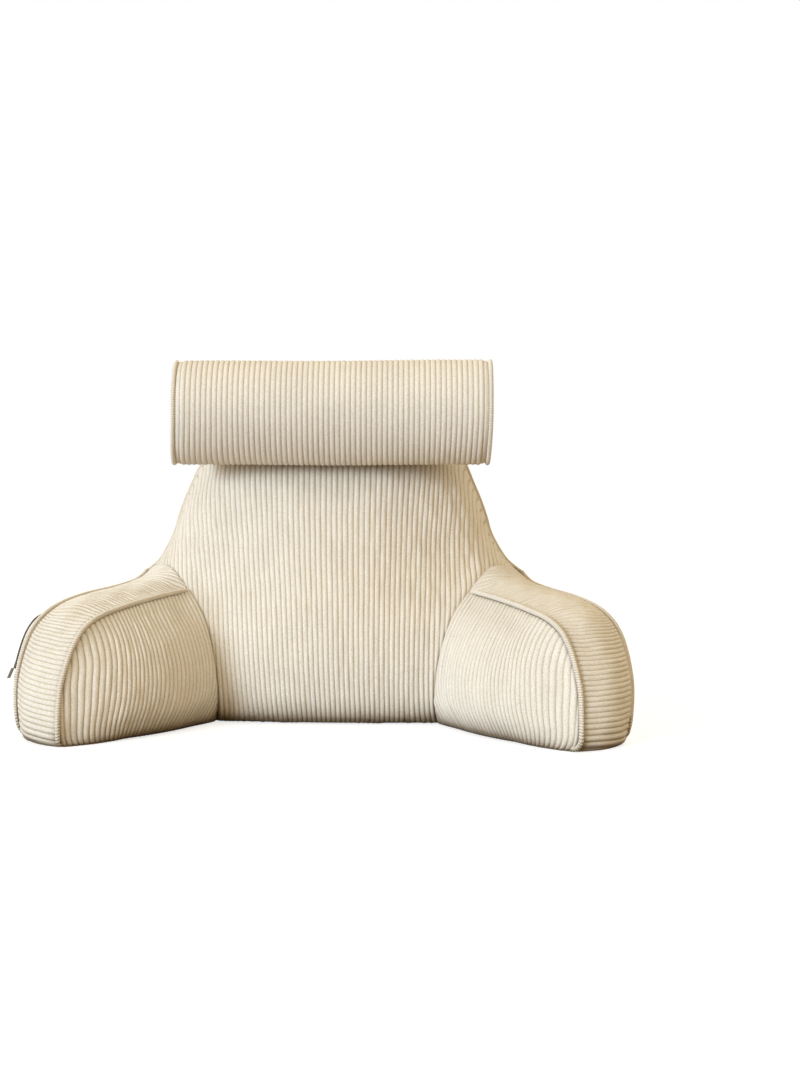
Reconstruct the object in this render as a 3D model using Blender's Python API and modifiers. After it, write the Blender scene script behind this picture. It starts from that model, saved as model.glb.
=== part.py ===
"""Back support pillow: a wedge-shaped back, two splayed arms and a neck roll, all in ribbed plush.

Frame: metres, +Z up, -Y the way the sitter faces. Left (-X) and right (+X) are as the pillow is
seen from in front. The origin lies on the floor, under the middle of the pillow's box.

The back and the two arms are filled chambers of one cover. They meet at the mitre seams: one
upright plane on each side, which holds the crotch line in front and the seam over the arm's top.
A piping follows each outer edge of the cover, and each arm's inner edge.
"""

import math
from collections import namedtuple

import bmesh
import bpy
from mathutils import Vector

# --- driving sizes -----------------------------------------------------------------------------
GAP = 0.0003  # between touching pieces
PIPING_RADIUS = 0.0030
TUBE_BEVEL_RESOLUTION = 1  # six sides
EDGE_TO_PIPING = PIPING_RADIUS + GAP + 0.0002  # from a chamber's edge to its piping's centre line

FRAME_SHIFT = Vector((0.0014, 0.0785, 0.0))  # brings the middle of the finished box over the origin

MITRE_FOOT = Vector((0.138, -0.116, 0.0))  # where the crotch line meets the floor
MITRE_DIRECTION = Vector((0.488, 0.873, 0.0)).normalized()  # along the mitre plane, to the rear
MITRE_NORMAL = Vector((MITRE_DIRECTION.y, -MITRE_DIRECTION.x, 0.0))  # away from the back

# The mitre plane's own outline: how far it has run to the rear at each height, up the crotch and
# over the top, and then down the rear.
SeamRow = namedtuple("SeamRow", "run height")
MITRE_SEAM = (
    SeamRow(0.0040, 0.000),
    SeamRow(0.0002, 0.028),
    SeamRow(0.0055, 0.060),
    SeamRow(0.0180, 0.090),
    SeamRow(0.0380, 0.120),
    SeamRow(0.0617, 0.142),
    SeamRow(0.0948, 0.160),
    SeamRow(0.1245, 0.174),
    SeamRow(0.1500, 0.184),
    SeamRow(0.1757, 0.1862),
    SeamRow(0.2130, 0.1818),
    SeamRow(0.2405, 0.174),
    SeamRow(0.2528, 0.1705),
)
MITRE_REAR = (
    SeamRow(0.2325, 0.000),
    SeamRow(0.2470, 0.028),
    SeamRow(0.2527, 0.060),
    SeamRow(0.2560, 0.090),
    SeamRow(0.2575, 0.120),
    SeamRow(0.2564, 0.142),
    SeamRow(0.2528, 0.1705),
)
CROTCH_TOP_RUN = 0.0948  # where the arm's inner piping starts
PIPING_START = Vector((-0.0022, 0.0035, 0.0030))  # its first point, off the seam: run, up, out
OUTER_START = Vector((0.45, 0.45, 0.77))  # which way the outer piping lies off the mitre's rear top

# Level sections through the back. The front is a rounded arch between the rear edges.
BackRow = namedtuple("BackRow", "height half_width front rear roundness rear_crown")
BACK_ROWS = (
    BackRow(0.000, 0.470, -0.121, 0.087, 1.95, 0.000),
    BackRow(0.005, 0.470, -0.126, 0.092, 1.95, 0.002),
    BackRow(0.030, 0.450, -0.128, 0.095, 1.95, 0.006),
    BackRow(0.060, 0.425, -0.125, 0.097, 1.95, 0.009),
    BackRow(0.090, 0.395, -0.117, 0.099, 1.95, 0.011),
    BackRow(0.120, 0.352, -0.106, 0.101, 1.95, 0.012),
    BackRow(0.142, 0.312, -0.095, 0.102, 1.95, 0.013),
    BackRow(0.160, 0.277, -0.083, 0.104, 1.95, 0.013),
    BackRow(0.174, 0.256, -0.073, 0.105, 2.00, 0.013),
    BackRow(0.187, 0.240, -0.063, 0.107, 2.15, 0.013),
    BackRow(0.205, 0.229, -0.050, 0.110, 2.25, 0.013),
    BackRow(0.229, 0.219, -0.031, 0.114, 2.40, 0.012),
    BackRow(0.252, 0.2135, -0.014, 0.117, 2.55, 0.012),
    BackRow(0.275, 0.206, 0.002, 0.120, 2.60, 0.011),
    BackRow(0.300, 0.1955, 0.019, 0.122, 2.60, 0.010),
    BackRow(0.324, 0.185, 0.035, 0.124, 2.60, 0.009),
    BackRow(0.347, 0.175, 0.049, 0.126, 2.60, 0.008),
    BackRow(0.368, 0.165, 0.062, 0.128, 2.60, 0.007),
    BackRow(0.388, 0.154, 0.074, 0.130, 2.60, 0.006),
    BackRow(0.403, 0.143, 0.085, 0.131, 2.60, 0.004),
    BackRow(0.414, 0.130, 0.097, 0.132, 2.60, 0.003),
    BackRow(0.421, 0.114, 0.110, 0.133, 2.60, 0.002),
    BackRow(0.424, 0.100, 0.121, 0.133, 2.60, 0.001),
)
BACK_FRONT_POINTS = 33
BACK_REAR_POINTS = 9
REAR_SEAM_FIRST_ROW = 9  # the first row that stands clear above the arms
REAR_SEAM_TURN = 0.8  # how far the rear seam's piping stands to the rear rather than sideways

# The arm's two upper edges on the right side, along the top, over the front and down to the
# floor: the inner edge as its piping's centre line, the outer one as its piping's outside.
EdgeRow = namedtuple("EdgeRow", "x y z")
INNER_EDGE = (
    EdgeRow(0.1844, -0.033, 0.161),
    EdgeRow(0.2220, -0.109, 0.153),
    EdgeRow(0.2500, -0.162, 0.147),
    EdgeRow(0.2690, -0.197, 0.141),
    EdgeRow(0.2825, -0.224, 0.130),
    EdgeRow(0.2910, -0.244, 0.112),
    EdgeRow(0.2970, -0.261, 0.088),
    EdgeRow(0.3015, -0.277, 0.058),
    EdgeRow(0.3040, -0.290, 0.026),
    EdgeRow(0.3035, -0.292, 0.003),
)
OUTER_EDGE = (
    EdgeRow(0.2630, 0.106, 0.177),
    EdgeRow(0.2760, 0.073, 0.167),
    EdgeRow(0.2970, 0.022, 0.162),
    EdgeRow(0.3190, -0.033, 0.159),
    EdgeRow(0.3380, -0.082, 0.153),
    EdgeRow(0.3530, -0.124, 0.142),
    EdgeRow(0.3640, -0.159, 0.124),
    EdgeRow(0.3705, -0.185, 0.097),
    EdgeRow(0.3740, -0.206, 0.062),
    EdgeRow(0.3750, -0.217, 0.030),
    EdgeRow(0.3725, -0.218, 0.010),
    EdgeRow(0.3700, -0.216, 0.003),
)
ARM_TOP_STEPS = 13  # along the top, and along the floor
ARM_FRONT_STEPS = 10  # down the front, and up the mitre plane
ARM_EDGE_POINTS = ARM_TOP_STEPS + ARM_FRONT_STEPS + 1
ARM_ACROSS_STEPS = 6  # between the inner and the outer edge
ARM_CORE = Vector((0.285, -0.100, 0.040))  # a point well inside the right arm
GUSSET_CROWN = 0.011
GUSSET_FOOT_CROWN = 0.016
INNER_CROWN = 0.012
INNER_BOW = -0.024
INNER_OUT = Vector((-0.73, -0.68, 0.10))
OUTER_CROWN = 0.012
OUTER_BOW = 0.012
OUTER_OUT = Vector((0.92, 0.38, 0.0))
CROWN_POWER = 0.8
WELD = 0.00001

ZIP_FIRST_POINT = 5
ZIP_LAST_POINT = 19
ZIP_RADIUS = 0.0016
SLIDER_SIZE = (0.0032, 0.0062, 0.0090)
PULL_SIZE = (0.0016, 0.0050, 0.0160)

ROLL_CENTRE = Vector((0.004, -0.0040, 0.395))
ROLL_RADIUS = 0.0700
ROLL_HALF_LENGTH = 0.2035  # to the seams at its ends
ROLL_END_BULGE = 0.0075
ROLL_SEAM_RADIUS = 0.0640
ROLL_PIPING_OFF = Vector((0.0019, 0.0030))  # from the end seam: along the roll, outward
ROLL_STEPS = 40


# --- small helpers -----------------------------------------------------------------------------
def clear_scene():
    for item in list(bpy.data.objects):
        bpy.data.objects.remove(item, do_unlink=True)


def make_collection(name):
    group = bpy.data.collections.new(name)
    bpy.context.scene.collection.children.link(group)
    return group


def make_material(name, colour, roughness, metallic):
    finish = bpy.data.materials.new(name)
    finish.use_nodes = True
    shader = finish.node_tree.nodes["Principled BSDF"]
    shader.inputs["Base Color"].default_value = (*colour, 1.0)
    shader.inputs["Roughness"].default_value = roughness
    shader.inputs["Metallic"].default_value = metallic
    return finish


def catmull(points, at):
    """The point at `at` (0 to 1) on a smooth curve through the points, even between them."""
    spans = len(points) - 1
    place = min(max(at, 0.0), 1.0) * spans
    i = min(int(place), spans - 1)
    t = place - i
    p1, p2 = points[i], points[i + 1]
    p0 = points[i - 1] if i > 0 else p1 * 2.0 - p2
    p3 = points[i + 2] if i + 2 <= spans else p2 * 2.0 - p1
    return 0.5 * (
        p1 * 2.0
        + (p2 - p0) * t
        + (p0 * 2.0 - p1 * 5.0 + p2 * 4.0 - p3) * t**2
        + (p1 * 3.0 - p0 - p2 * 3.0 + p3) * t**3
    )


def resample(points, count):
    """`count` points at equal steps along a smooth curve through the given ones."""
    fine = [catmull(points, i / 400) for i in range(401)]
    along = [0.0]
    for a, b in zip(fine, fine[1:]):
        along.append(along[-1] + (b - a).length)
    result = []
    j = 0
    for k in range(count):
        goal = along[-1] * k / (count - 1)
        while j < len(along) - 2 and along[j + 1] < goal:
            j += 1
        share = (goal - along[j]) / max(along[j + 1] - along[j], 1e-12)
        result.append(fine[j].lerp(fine[j + 1], min(max(share, 0.0), 1.0)))
    return result


def add_rings(mesh, rings, closed=True):
    """Joins rings of points by quads and returns the rings' vertices."""
    made = [[mesh.verts.new(p) for p in ring] for ring in rings]
    for lower, upper in zip(made, made[1:]):
        count = len(lower)
        for i in range(count if closed else count - 1):
            j = (i + 1) % count
            mesh.faces.new((lower[i], lower[j], upper[j], upper[i]))
    return made


def finish_object(mesh, name, group, finish, sharp_angle=40.0):
    """Turns a bmesh into a named, smooth-shaded object with one material."""
    bmesh.ops.recalc_face_normals(mesh, faces=mesh.faces[:])
    data = bpy.data.meshes.new(name)
    mesh.to_mesh(data)
    mesh.free()
    data.shade_smooth()
    data.set_sharp_from_angle(angle=math.radians(sharp_angle))
    data.materials.append(finish)
    item = bpy.data.objects.new(name, data)
    group.objects.link(item)
    return item


def mirrored(points, side):
    return [Vector((p.x * side, p.y, p.z)) for p in points]


def tube(name, points, radius, group, finish, cyclic=False):
    """A round cord along the points, closed at its ends."""
    curve = bpy.data.curves.new(name, "CURVE")
    curve.dimensions = "3D"
    curve.bevel_depth = radius
    curve.bevel_resolution = TUBE_BEVEL_RESOLUTION
    curve.use_fill_caps = not cyclic
    line = curve.splines.new("POLY")
    line.points.add(len(points) - 1)
    for spot, p in zip(line.points, points):
        spot.co = (*p, 1.0)
    line.use_cyclic_u = cyclic
    line.use_smooth = True
    curve.materials.append(finish)
    item = bpy.data.objects.new(name, curve)
    group.objects.link(item)
    return item


# --- the mitre seam ----------------------------------------------------------------------------
def seam_point(run, height, offset=0.0):
    """A point of the mitre plane, `offset` away from it towards the arm."""
    flat = MITRE_FOOT + MITRE_DIRECTION * run + MITRE_NORMAL * offset
    return Vector((flat.x, flat.y, height))


def seam_table(rows, count, offset):
    """Points at equal steps along the smooth curve through some rows of the mitre plane."""
    curve = resample([Vector((row.run, row.height, 0.0)) for row in rows], count)
    return [seam_point(p.x, p.y, offset) for p in curve]


def crotch_rows():
    """The mitre seam's rows up to the start of the arm's inner piping, and those from there on."""
    split = [row.run for row in MITRE_SEAM].index(CROTCH_TOP_RUN)
    return MITRE_SEAM[: split + 1], MITRE_SEAM[split:]


# --- the back ----------------------------------------------------------------------------------
def back_ring(row):
    """One level section of the back, beyond the mitre planes too."""
    half = (BACK_FRONT_POINTS - 1) // 2
    depth = row.rear - row.front
    power = 2.0 / row.roundness
    ring = []
    for i in range(-half, half + 1):
        angle = math.pi / 2.0 * i / half
        x = row.half_width * abs(math.sin(angle)) ** power
        y = row.rear - depth * abs(math.cos(angle)) ** power
        ring.append(Vector((math.copysign(x, i), y, row.height)))
    for k in range(1, BACK_REAR_POINTS + 1):
        share = 1.0 - 2.0 * k / (BACK_REAR_POINTS + 1)
        bulge = row.rear_crown * (1.0 - share**4)
        ring.append(Vector((row.half_width * share, row.rear + bulge, row.height)))
    return ring


def cut_at_mitre(mesh, side):
    """Takes away what lies beyond one mitre plane and closes the cut."""
    normal = Vector((MITRE_NORMAL.x * side, MITRE_NORMAL.y, 0.0))
    foot = Vector((MITRE_FOOT.x * side, MITRE_FOOT.y, 0.0))
    geometry = mesh.verts[:] + mesh.edges[:] + mesh.faces[:]
    bmesh.ops.bisect_plane(
        mesh,
        geom=geometry,
        dist=1e-6,
        plane_co=foot - normal * GAP / 2.0,
        plane_no=normal,
        clear_outer=True,
    )
    rim = [edge for edge in mesh.edges if edge.is_boundary]
    bmesh.ops.holes_fill(mesh, edges=rim)


def build_back(group, finish):
    mesh = bmesh.new()
    rings = add_rings(mesh, [back_ring(row) for row in BACK_ROWS])
    mesh.faces.new(rings[0])
    mesh.faces.new(rings[-1])
    for side in (1, -1):
        cut_at_mitre(mesh, side)
    return finish_object(mesh, "back", group, finish)


# --- the arms ----------------------------------------------------------------------------------
def edge_line(rows, start):
    """The piping's line over the right arm, from the mitre plane down to the floor."""
    return resample([start] + [Vector(row) for row in rows[1:]], ARM_EDGE_POINTS)


def arm_lines():
    """The centre lines of the right arm's two pipings."""
    top, last = crotch_rows()[1][0], MITRE_SEAM[-1]
    shift = PIPING_START
    start = seam_point(top.run + shift.x, top.height + shift.y, shift.z)
    inner = edge_line(INNER_EDGE, start)
    outer = inset(edge_line(OUTER_EDGE, Vector(OUTER_EDGE[0])), inner, PIPING_RADIUS)
    outer[0] = seam_point(last.run, last.height) + OUTER_START.normalized() * EDGE_TO_PIPING
    return inner, outer


def inset(line, other, distance):
    """One edge line moved into the arm, square to its own run and half-way between its faces."""
    moved = []
    for i, point in enumerate(line):
        before, after = line[max(i - 1, 0)], line[min(i + 1, len(line) - 1)]
        run = (after - before).normalized()
        across = (other[i] - point).normalized()
        across = (across - run * across.dot(run)).normalized()
        inward = run.cross(across)
        if inward.dot(ARM_CORE - point) < 0.0:
            inward = -inward
        moved.append(point + (across + inward).normalized() * distance)
    return moved


def floor_line(front, rear, bow):
    """The arm's edge on the floor from its front back to the mitre, bowed to one side."""
    along = rear - front
    across = Vector((along.y, -along.x, 0.0)).normalized()
    line = []
    for i in range(ARM_TOP_STEPS + 1):
        share = i / ARM_TOP_STEPS
        line.append(front + along * share + across * bow * 4.0 * share * (1.0 - share))
    return line


def arm_outlines():
    """The four sides of the right arm's inner and outer faces: upright, top, front and floor."""
    inner, outer = arm_lines()
    offset = GAP / 2.0
    last = MITRE_SEAM[-1]
    inner_edge = inset(inner, outer, EDGE_TO_PIPING)
    outer_edge = inset(outer, inner, EDGE_TO_PIPING)
    crotch = seam_table(crotch_rows()[0], ARM_FRONT_STEPS + 1, offset)
    inner_edge[0] = crotch[-1]
    outer_edge[0] = seam_point(last.run, last.height, offset)
    rear = seam_table(MITRE_REAR, ARM_FRONT_STEPS + 1, offset)
    for edge in (inner_edge, outer_edge):
        step = edge[-1] - edge[-2]
        edge[-1] -= step * (edge[-1].z / step.z)
    faces = []
    for upright, edge, bow in ((crotch, inner_edge, INNER_BOW), (rear, outer_edge, OUTER_BOW)):
        top = edge[: ARM_TOP_STEPS + 1]
        front = list(reversed(edge[ARM_TOP_STEPS:]))
        floor = list(reversed(floor_line(edge[-1], upright[0], bow)))
        faces.append((upright, top, front, floor))
    return faces


def face_grid(outline, crown, out):
    """A grid between the four sides of a face, swelling by `crown` in its middle."""
    upright, top, front, floor = outline
    out = out.normalized()
    columns = len(floor) - 1
    rows = len(upright) - 1
    grid = []
    for i in range(columns + 1):
        u = i / columns
        column = []
        for j in range(rows + 1):
            v = j / rows
            corners = (
                floor[0] * (1 - u) * (1 - v)
                + floor[-1] * u * (1 - v)
                + top[0] * (1 - u) * v
                + top[-1] * u * v
            )
            point = floor[i] * (1 - v) + top[i] * v + upright[j] * (1 - u) + front[j] * u - corners
            swell = (16.0 * u * (1 - u) * v * (1 - v)) ** CROWN_POWER
            column.append(point + out * crown * swell)
        grid.append(column)
    return grid


def loop_of(outline):
    """The outline of a face as one closed run: up the mitre, over, down the front, back."""
    upright, top, front, floor = outline
    down = list(reversed(front))
    back = list(reversed(floor))
    return upright[:-1] + top[:-1] + down[:-1] + back[:-1]


def band(inner_loop, outer_loop):
    """The rings between the arm's two faces: flat on the floor and the mitre, crowned elsewhere."""
    over = seam_table(crotch_rows()[1], ARM_ACROSS_STEPS + 1, GAP / 2.0)
    first = ARM_FRONT_STEPS
    last = first + ARM_EDGE_POINTS - 1
    rings = []
    for k in range(ARM_ACROSS_STEPS + 1):
        share = k / ARM_ACROSS_STEPS
        ring = []
        for i, (near, far) in enumerate(zip(inner_loop, outer_loop)):
            point = near.lerp(far, share)
            if i == first and 0 < k < ARM_ACROSS_STEPS:
                point = over[k].copy()
            elif first < i <= last:
                run = inner_loop[i] - inner_loop[i - 1] + outer_loop[i] - outer_loop[i - 1]
                out = run.cross(far - near).normalized()
                if i == last:
                    out.z = 0.0
                    out.normalize()
                down = (i - first) / (last - first)
                crown = GUSSET_CROWN + (GUSSET_FOOT_CROWN - GUSSET_CROWN) * down**3
                point += out * crown * 4.0 * share * (1.0 - share)
            ring.append(point)
        rings.append(ring)
    return rings


def build_arm(name, side, group, finish):
    inner, outer = arm_outlines()
    mesh = bmesh.new()
    sheets = (
        (face_grid(inner, INNER_CROWN, INNER_OUT), False),
        (face_grid(outer, OUTER_CROWN, OUTER_OUT), False),
        (band(loop_of(inner), loop_of(outer)), True),
    )
    for sheet, closed in sheets:
        add_rings(mesh, [mirrored(ring, side) for ring in sheet], closed)
    bmesh.ops.remove_doubles(mesh, verts=mesh.verts[:], dist=WELD)
    return finish_object(mesh, name, group, finish)


# --- pipings -----------------------------------------------------------------------------------
def rear_seam_line():
    """The piping's centre line up one side of the back and over to the middle of its top."""
    rows = BACK_ROWS[REAR_SEAM_FIRST_ROW:]
    corners = [Vector((row.half_width, row.rear, row.height)) for row in rows]
    top = rows[-1]
    corners.append(Vector((top.half_width * 0.5, top.rear, top.height)))
    corners.append(Vector((0.0, top.rear, top.height)))
    line = []
    for i, corner in enumerate(corners):
        before, after = corners[max(i - 1, 0)], corners[min(i + 1, len(corners) - 1)]
        run = (after - before).normalized()
        sideways = run.cross(Vector((0.0, -1.0, 0.0))).normalized()
        out = (sideways + Vector((0.0, REAR_SEAM_TURN, 0.0))).normalized()
        line.append(corner + out * EDGE_TO_PIPING)
    return line


def outline_piping():
    """The long piping: up one arm's outer edge, round the back and down the other arm."""
    _, outer = arm_lines()
    half = list(reversed(outer)) + rear_seam_line()
    return half + list(reversed(mirrored(half[:-1], -1)))


def roll_ring(side):
    """The circle that the piping at one end of the neck roll follows."""
    radius = ROLL_SEAM_RADIUS + ROLL_PIPING_OFF.y
    along = side * (ROLL_HALF_LENGTH + ROLL_PIPING_OFF.x)
    centre = ROLL_CENTRE + Vector((along, 0.0, 0.0))
    ring = []
    for i in range(ROLL_STEPS):
        angle = 2.0 * math.pi * i / ROLL_STEPS
        ring.append(centre + Vector((0.0, math.cos(angle), math.sin(angle))) * radius)
    return ring


def build_pipings(group, finish):
    inner, _ = arm_lines()
    for word, side in (("left", -1), ("right", 1)):
        line = mirrored(inner, side)
        tube("arm_piping_" + word, line, PIPING_RADIUS, group, finish)
        tube("roll_piping_" + word, roll_ring(side), PIPING_RADIUS, group, finish, cyclic=True)
    tube("outline_piping", outline_piping(), PIPING_RADIUS, group, finish)


# --- the zip on the left arm -------------------------------------------------------------------
def zip_line():
    """The zip's chain, close along the outside of the left arm's outer piping."""
    _, outer = arm_lines()
    stretch = outer[ZIP_FIRST_POINT:ZIP_LAST_POINT]
    reach = PIPING_RADIUS + ZIP_RADIUS + GAP + 0.0001
    out = OUTER_OUT.normalized()
    return mirrored([p + out * reach for p in stretch], -1)


def small_box(name, size, centre, direction, group, finish):
    """A box of the given size whose long side follows a direction, with softened edges."""
    mesh = bmesh.new()
    bmesh.ops.create_cube(mesh, size=1.0)
    for vertex in mesh.verts:
        vertex.co = Vector((vertex.co.x * size[0], vertex.co.y * size[1], vertex.co.z * size[2]))
    edges = mesh.edges[:]
    bmesh.ops.bevel(mesh, geom=edges, offset=min(size) * 0.3, segments=1, affect="EDGES")
    turn = Vector((0.0, 0.0, 1.0)).rotation_difference(direction).to_matrix()
    for vertex in mesh.verts:
        vertex.co = turn @ vertex.co + centre
    return finish_object(mesh, name, group, finish)


def build_zip(group, coil, metal):
    line = zip_line()
    tube("zip_chain", line, ZIP_RADIUS, group, coil)
    run = (line[-1] - line[-2]).normalized()
    slider_centre = line[-1] + run * (SLIDER_SIZE[2] / 2.0 + GAP)
    small_box("zip_slider", SLIDER_SIZE, slider_centre, run, group, metal)
    pull_centre = slider_centre + run * (SLIDER_SIZE[2] / 2.0 + PULL_SIZE[2] / 2.0 + GAP)
    small_box("zip_pull", PULL_SIZE, pull_centre, run, group, metal)


# --- the neck roll -----------------------------------------------------------------------------
def roll_profile():
    """Half of the roll's outline, from the middle of one end to the middle of the other."""
    side = ROLL_HALF_LENGTH
    radius = ROLL_RADIUS
    half = [
        (0.0, side + ROLL_END_BULGE),
        (0.42 * radius, side + 0.85 * ROLL_END_BULGE),
        (0.74 * radius, side + 0.48 * ROLL_END_BULGE),
        (ROLL_SEAM_RADIUS, side),
        (radius - 0.0015, side - 0.004),
        (radius - 0.0002, side - 0.012),
        (radius, side - 0.030),
    ]
    return half + [(r, -x) for r, x in reversed(half)]


def build_roll(group, finish):
    data = bpy.data.meshes.new("neck_roll")
    points = roll_profile()
    data.from_pydata(
        [(r, 0.0, x) for r, x in points],
        [(i, i + 1) for i in range(len(points) - 1)],
        [],
    )
    data.materials.append(finish)
    item = bpy.data.objects.new("neck_roll", data)
    group.objects.link(item)
    item.location = ROLL_CENTRE
    item.rotation_euler = (0.0, math.pi / 2.0, 0.0)
    turn = item.modifiers.new("turn", "SCREW")
    turn.steps = ROLL_STEPS
    turn.render_steps = ROLL_STEPS
    turn.use_merge_vertices = True
    turn.merge_threshold = 0.0001
    turn.use_smooth_shade = True
    return item


def main():
    clear_scene()
    group = make_collection("back_support_pillow")
    plush = make_material("ribbed_plush", (0.80, 0.72, 0.56), 0.95, 0.0)
    piping = make_material("piping", (0.82, 0.74, 0.58), 0.92, 0.0)
    coil = make_material("zip_coil", (0.16, 0.16, 0.17), 0.60, 0.0)
    metal = make_material("zip_metal", (0.20, 0.20, 0.21), 0.35, 1.0)
    build_back(group, plush)
    build_arm("arm_left", -1, group, plush)
    build_arm("arm_right", 1, group, plush)
    build_pipings(group, piping)
    build_roll(group, plush)
    build_zip(group, coil, metal)
    for item in group.objects:
        item.location += FRAME_SHIFT


main()
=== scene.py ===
"""Back support pillow in ribbed plush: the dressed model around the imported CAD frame.

Metres, +Z up, -Y the way the sitter faces. Left (-X) and right (+X) are as seen from in front.
Each panel of the cover is a sheet of ribs laid over the shape of its chamber. A cloth
simulation presses the chambers out between their seams, and the sheets follow it.
"""

import math
from collections import namedtuple

import bmesh
import bpy
import numpy as np
from mathutils import Matrix, Vector, kdtree


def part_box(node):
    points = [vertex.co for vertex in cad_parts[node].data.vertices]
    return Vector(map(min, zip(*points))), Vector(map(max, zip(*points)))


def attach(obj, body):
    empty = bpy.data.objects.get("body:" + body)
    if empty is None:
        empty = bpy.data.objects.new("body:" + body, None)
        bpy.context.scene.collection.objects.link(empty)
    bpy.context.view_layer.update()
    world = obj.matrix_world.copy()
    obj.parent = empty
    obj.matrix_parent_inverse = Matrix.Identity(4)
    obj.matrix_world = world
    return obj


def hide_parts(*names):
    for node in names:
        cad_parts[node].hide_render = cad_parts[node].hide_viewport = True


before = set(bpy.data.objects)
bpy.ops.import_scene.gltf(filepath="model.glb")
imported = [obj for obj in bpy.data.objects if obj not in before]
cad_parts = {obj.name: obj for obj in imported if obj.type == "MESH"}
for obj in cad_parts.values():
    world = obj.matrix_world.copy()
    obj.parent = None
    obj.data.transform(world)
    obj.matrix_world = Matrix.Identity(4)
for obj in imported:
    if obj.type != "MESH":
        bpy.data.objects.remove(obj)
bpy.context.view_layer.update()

# --- sizes ---
RIB_PITCH = 0.0073
RIB_HEIGHT = 0.0015
RIB_POWER = 2.4
RIB_SAMPLES = (0.0, 0.07, 0.18, 0.33, 0.5, 0.67, 0.82, 0.93)
COARSE_SAMPLES = (0.0, 0.1, 0.3, 0.5, 0.7, 0.9)
SKIRT = 0.006  # how far a sheet's border is turned in
LAP = 0.0035  # how far plain seams' sheets run on into each other
FLOOR_GAP = 0.0004
LIFT = 0.0035  # the filling holds the covers up by this above the solids
LEFT_SPREAD, RIGHT_SPREAD = 0.0044, 0.0046  # how far the filled arms bulge outward
LEFT_SHOULDER, RIGHT_SHOULDER = 0.0055, 0.0030  # both lean to the left
PIPING_RADIUS = 0.0030
BEAD_PITCH = 0.0031
EDGE_TO_PIPING = 0.0035

MITRE_FOOT = np.array((0.138, -0.116, 0.0))
MITRE_DIRECTION = np.array((0.488, 0.873, 0.0)) / math.hypot(0.488, 0.873)
MITRE_NORMAL = np.array((MITRE_DIRECTION[1], -MITRE_DIRECTION[0], 0.0))

# the seams between the arm and the back: the run along the mitre, and the height
MITRE_SEAM = (
    (0.0040, 0.000),
    (0.0002, 0.028),
    (0.0055, 0.060),
    (0.0180, 0.090),
    (0.0380, 0.120),
    (0.0617, 0.142),
    (0.0948, 0.160),
    (0.1245, 0.174),
    (0.1500, 0.184),
    (0.1757, 0.1862),
    (0.2130, 0.1818),
    (0.2405, 0.174),
    (0.2528, 0.1705),
)
CROTCH_TOP_ROW = 6  # where the arm's inner piping starts
MITRE_REAR = (
    (0.2325, 0.000),
    (0.2470, 0.028),
    (0.2527, 0.060),
    (0.2560, 0.090),
    (0.2575, 0.120),
    (0.2564, 0.142),
    (0.2528, 0.1705),
)

BackRow = namedtuple("BackRow", "height half_width front rear roundness rear_crown")
BACK_ROWS = (
    BackRow(0.000, 0.470, -0.121, 0.087, 1.95, 0.000),
    BackRow(0.005, 0.470, -0.126, 0.092, 1.95, 0.002),
    BackRow(0.030, 0.450, -0.128, 0.095, 1.95, 0.006),
    BackRow(0.060, 0.425, -0.125, 0.097, 1.95, 0.009),
    BackRow(0.090, 0.395, -0.117, 0.099, 1.95, 0.011),
    BackRow(0.120, 0.352, -0.106, 0.101, 1.95, 0.012),
    BackRow(0.142, 0.312, -0.095, 0.102, 1.95, 0.013),
    BackRow(0.160, 0.277, -0.083, 0.104, 1.95, 0.013),
    BackRow(0.174, 0.256, -0.073, 0.105, 2.00, 0.013),
    BackRow(0.187, 0.240, -0.063, 0.107, 2.15, 0.013),
    BackRow(0.205, 0.229, -0.050, 0.110, 2.25, 0.013),
    BackRow(0.229, 0.219, -0.031, 0.114, 2.40, 0.012),
    BackRow(0.252, 0.2135, -0.014, 0.117, 2.55, 0.012),
    BackRow(0.275, 0.206, 0.002, 0.120, 2.60, 0.011),
    BackRow(0.300, 0.1955, 0.019, 0.122, 2.60, 0.010),
    BackRow(0.324, 0.185, 0.035, 0.124, 2.60, 0.009),
    BackRow(0.347, 0.175, 0.049, 0.126, 2.60, 0.008),
    BackRow(0.368, 0.165, 0.062, 0.128, 2.60, 0.007),
    BackRow(0.388, 0.154, 0.074, 0.130, 2.60, 0.006),
    BackRow(0.403, 0.143, 0.085, 0.131, 2.60, 0.004),
    BackRow(0.414, 0.130, 0.097, 0.132, 2.60, 0.003),
    BackRow(0.421, 0.114, 0.110, 0.133, 2.60, 0.002),
    BackRow(0.424, 0.100, 0.121, 0.133, 2.60, 0.001),
)
# The ribs of the back's front crowd together towards the seat, and lean a little: the height,
# their spacing and the middle one's place.
RIB_ROWS = (
    (0.000, 0.00622, 0.0115),
    (0.055, 0.00629, 0.0088),
    (0.104, 0.00644, 0.0068),
    (0.153, 0.00663, 0.0048),
    (0.202, 0.00693, 0.0018),
    (0.253, 0.00721, -0.0007),
    (0.306, 0.00746, -0.0020),
    (0.424, 0.00760, -0.0050),
)

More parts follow.
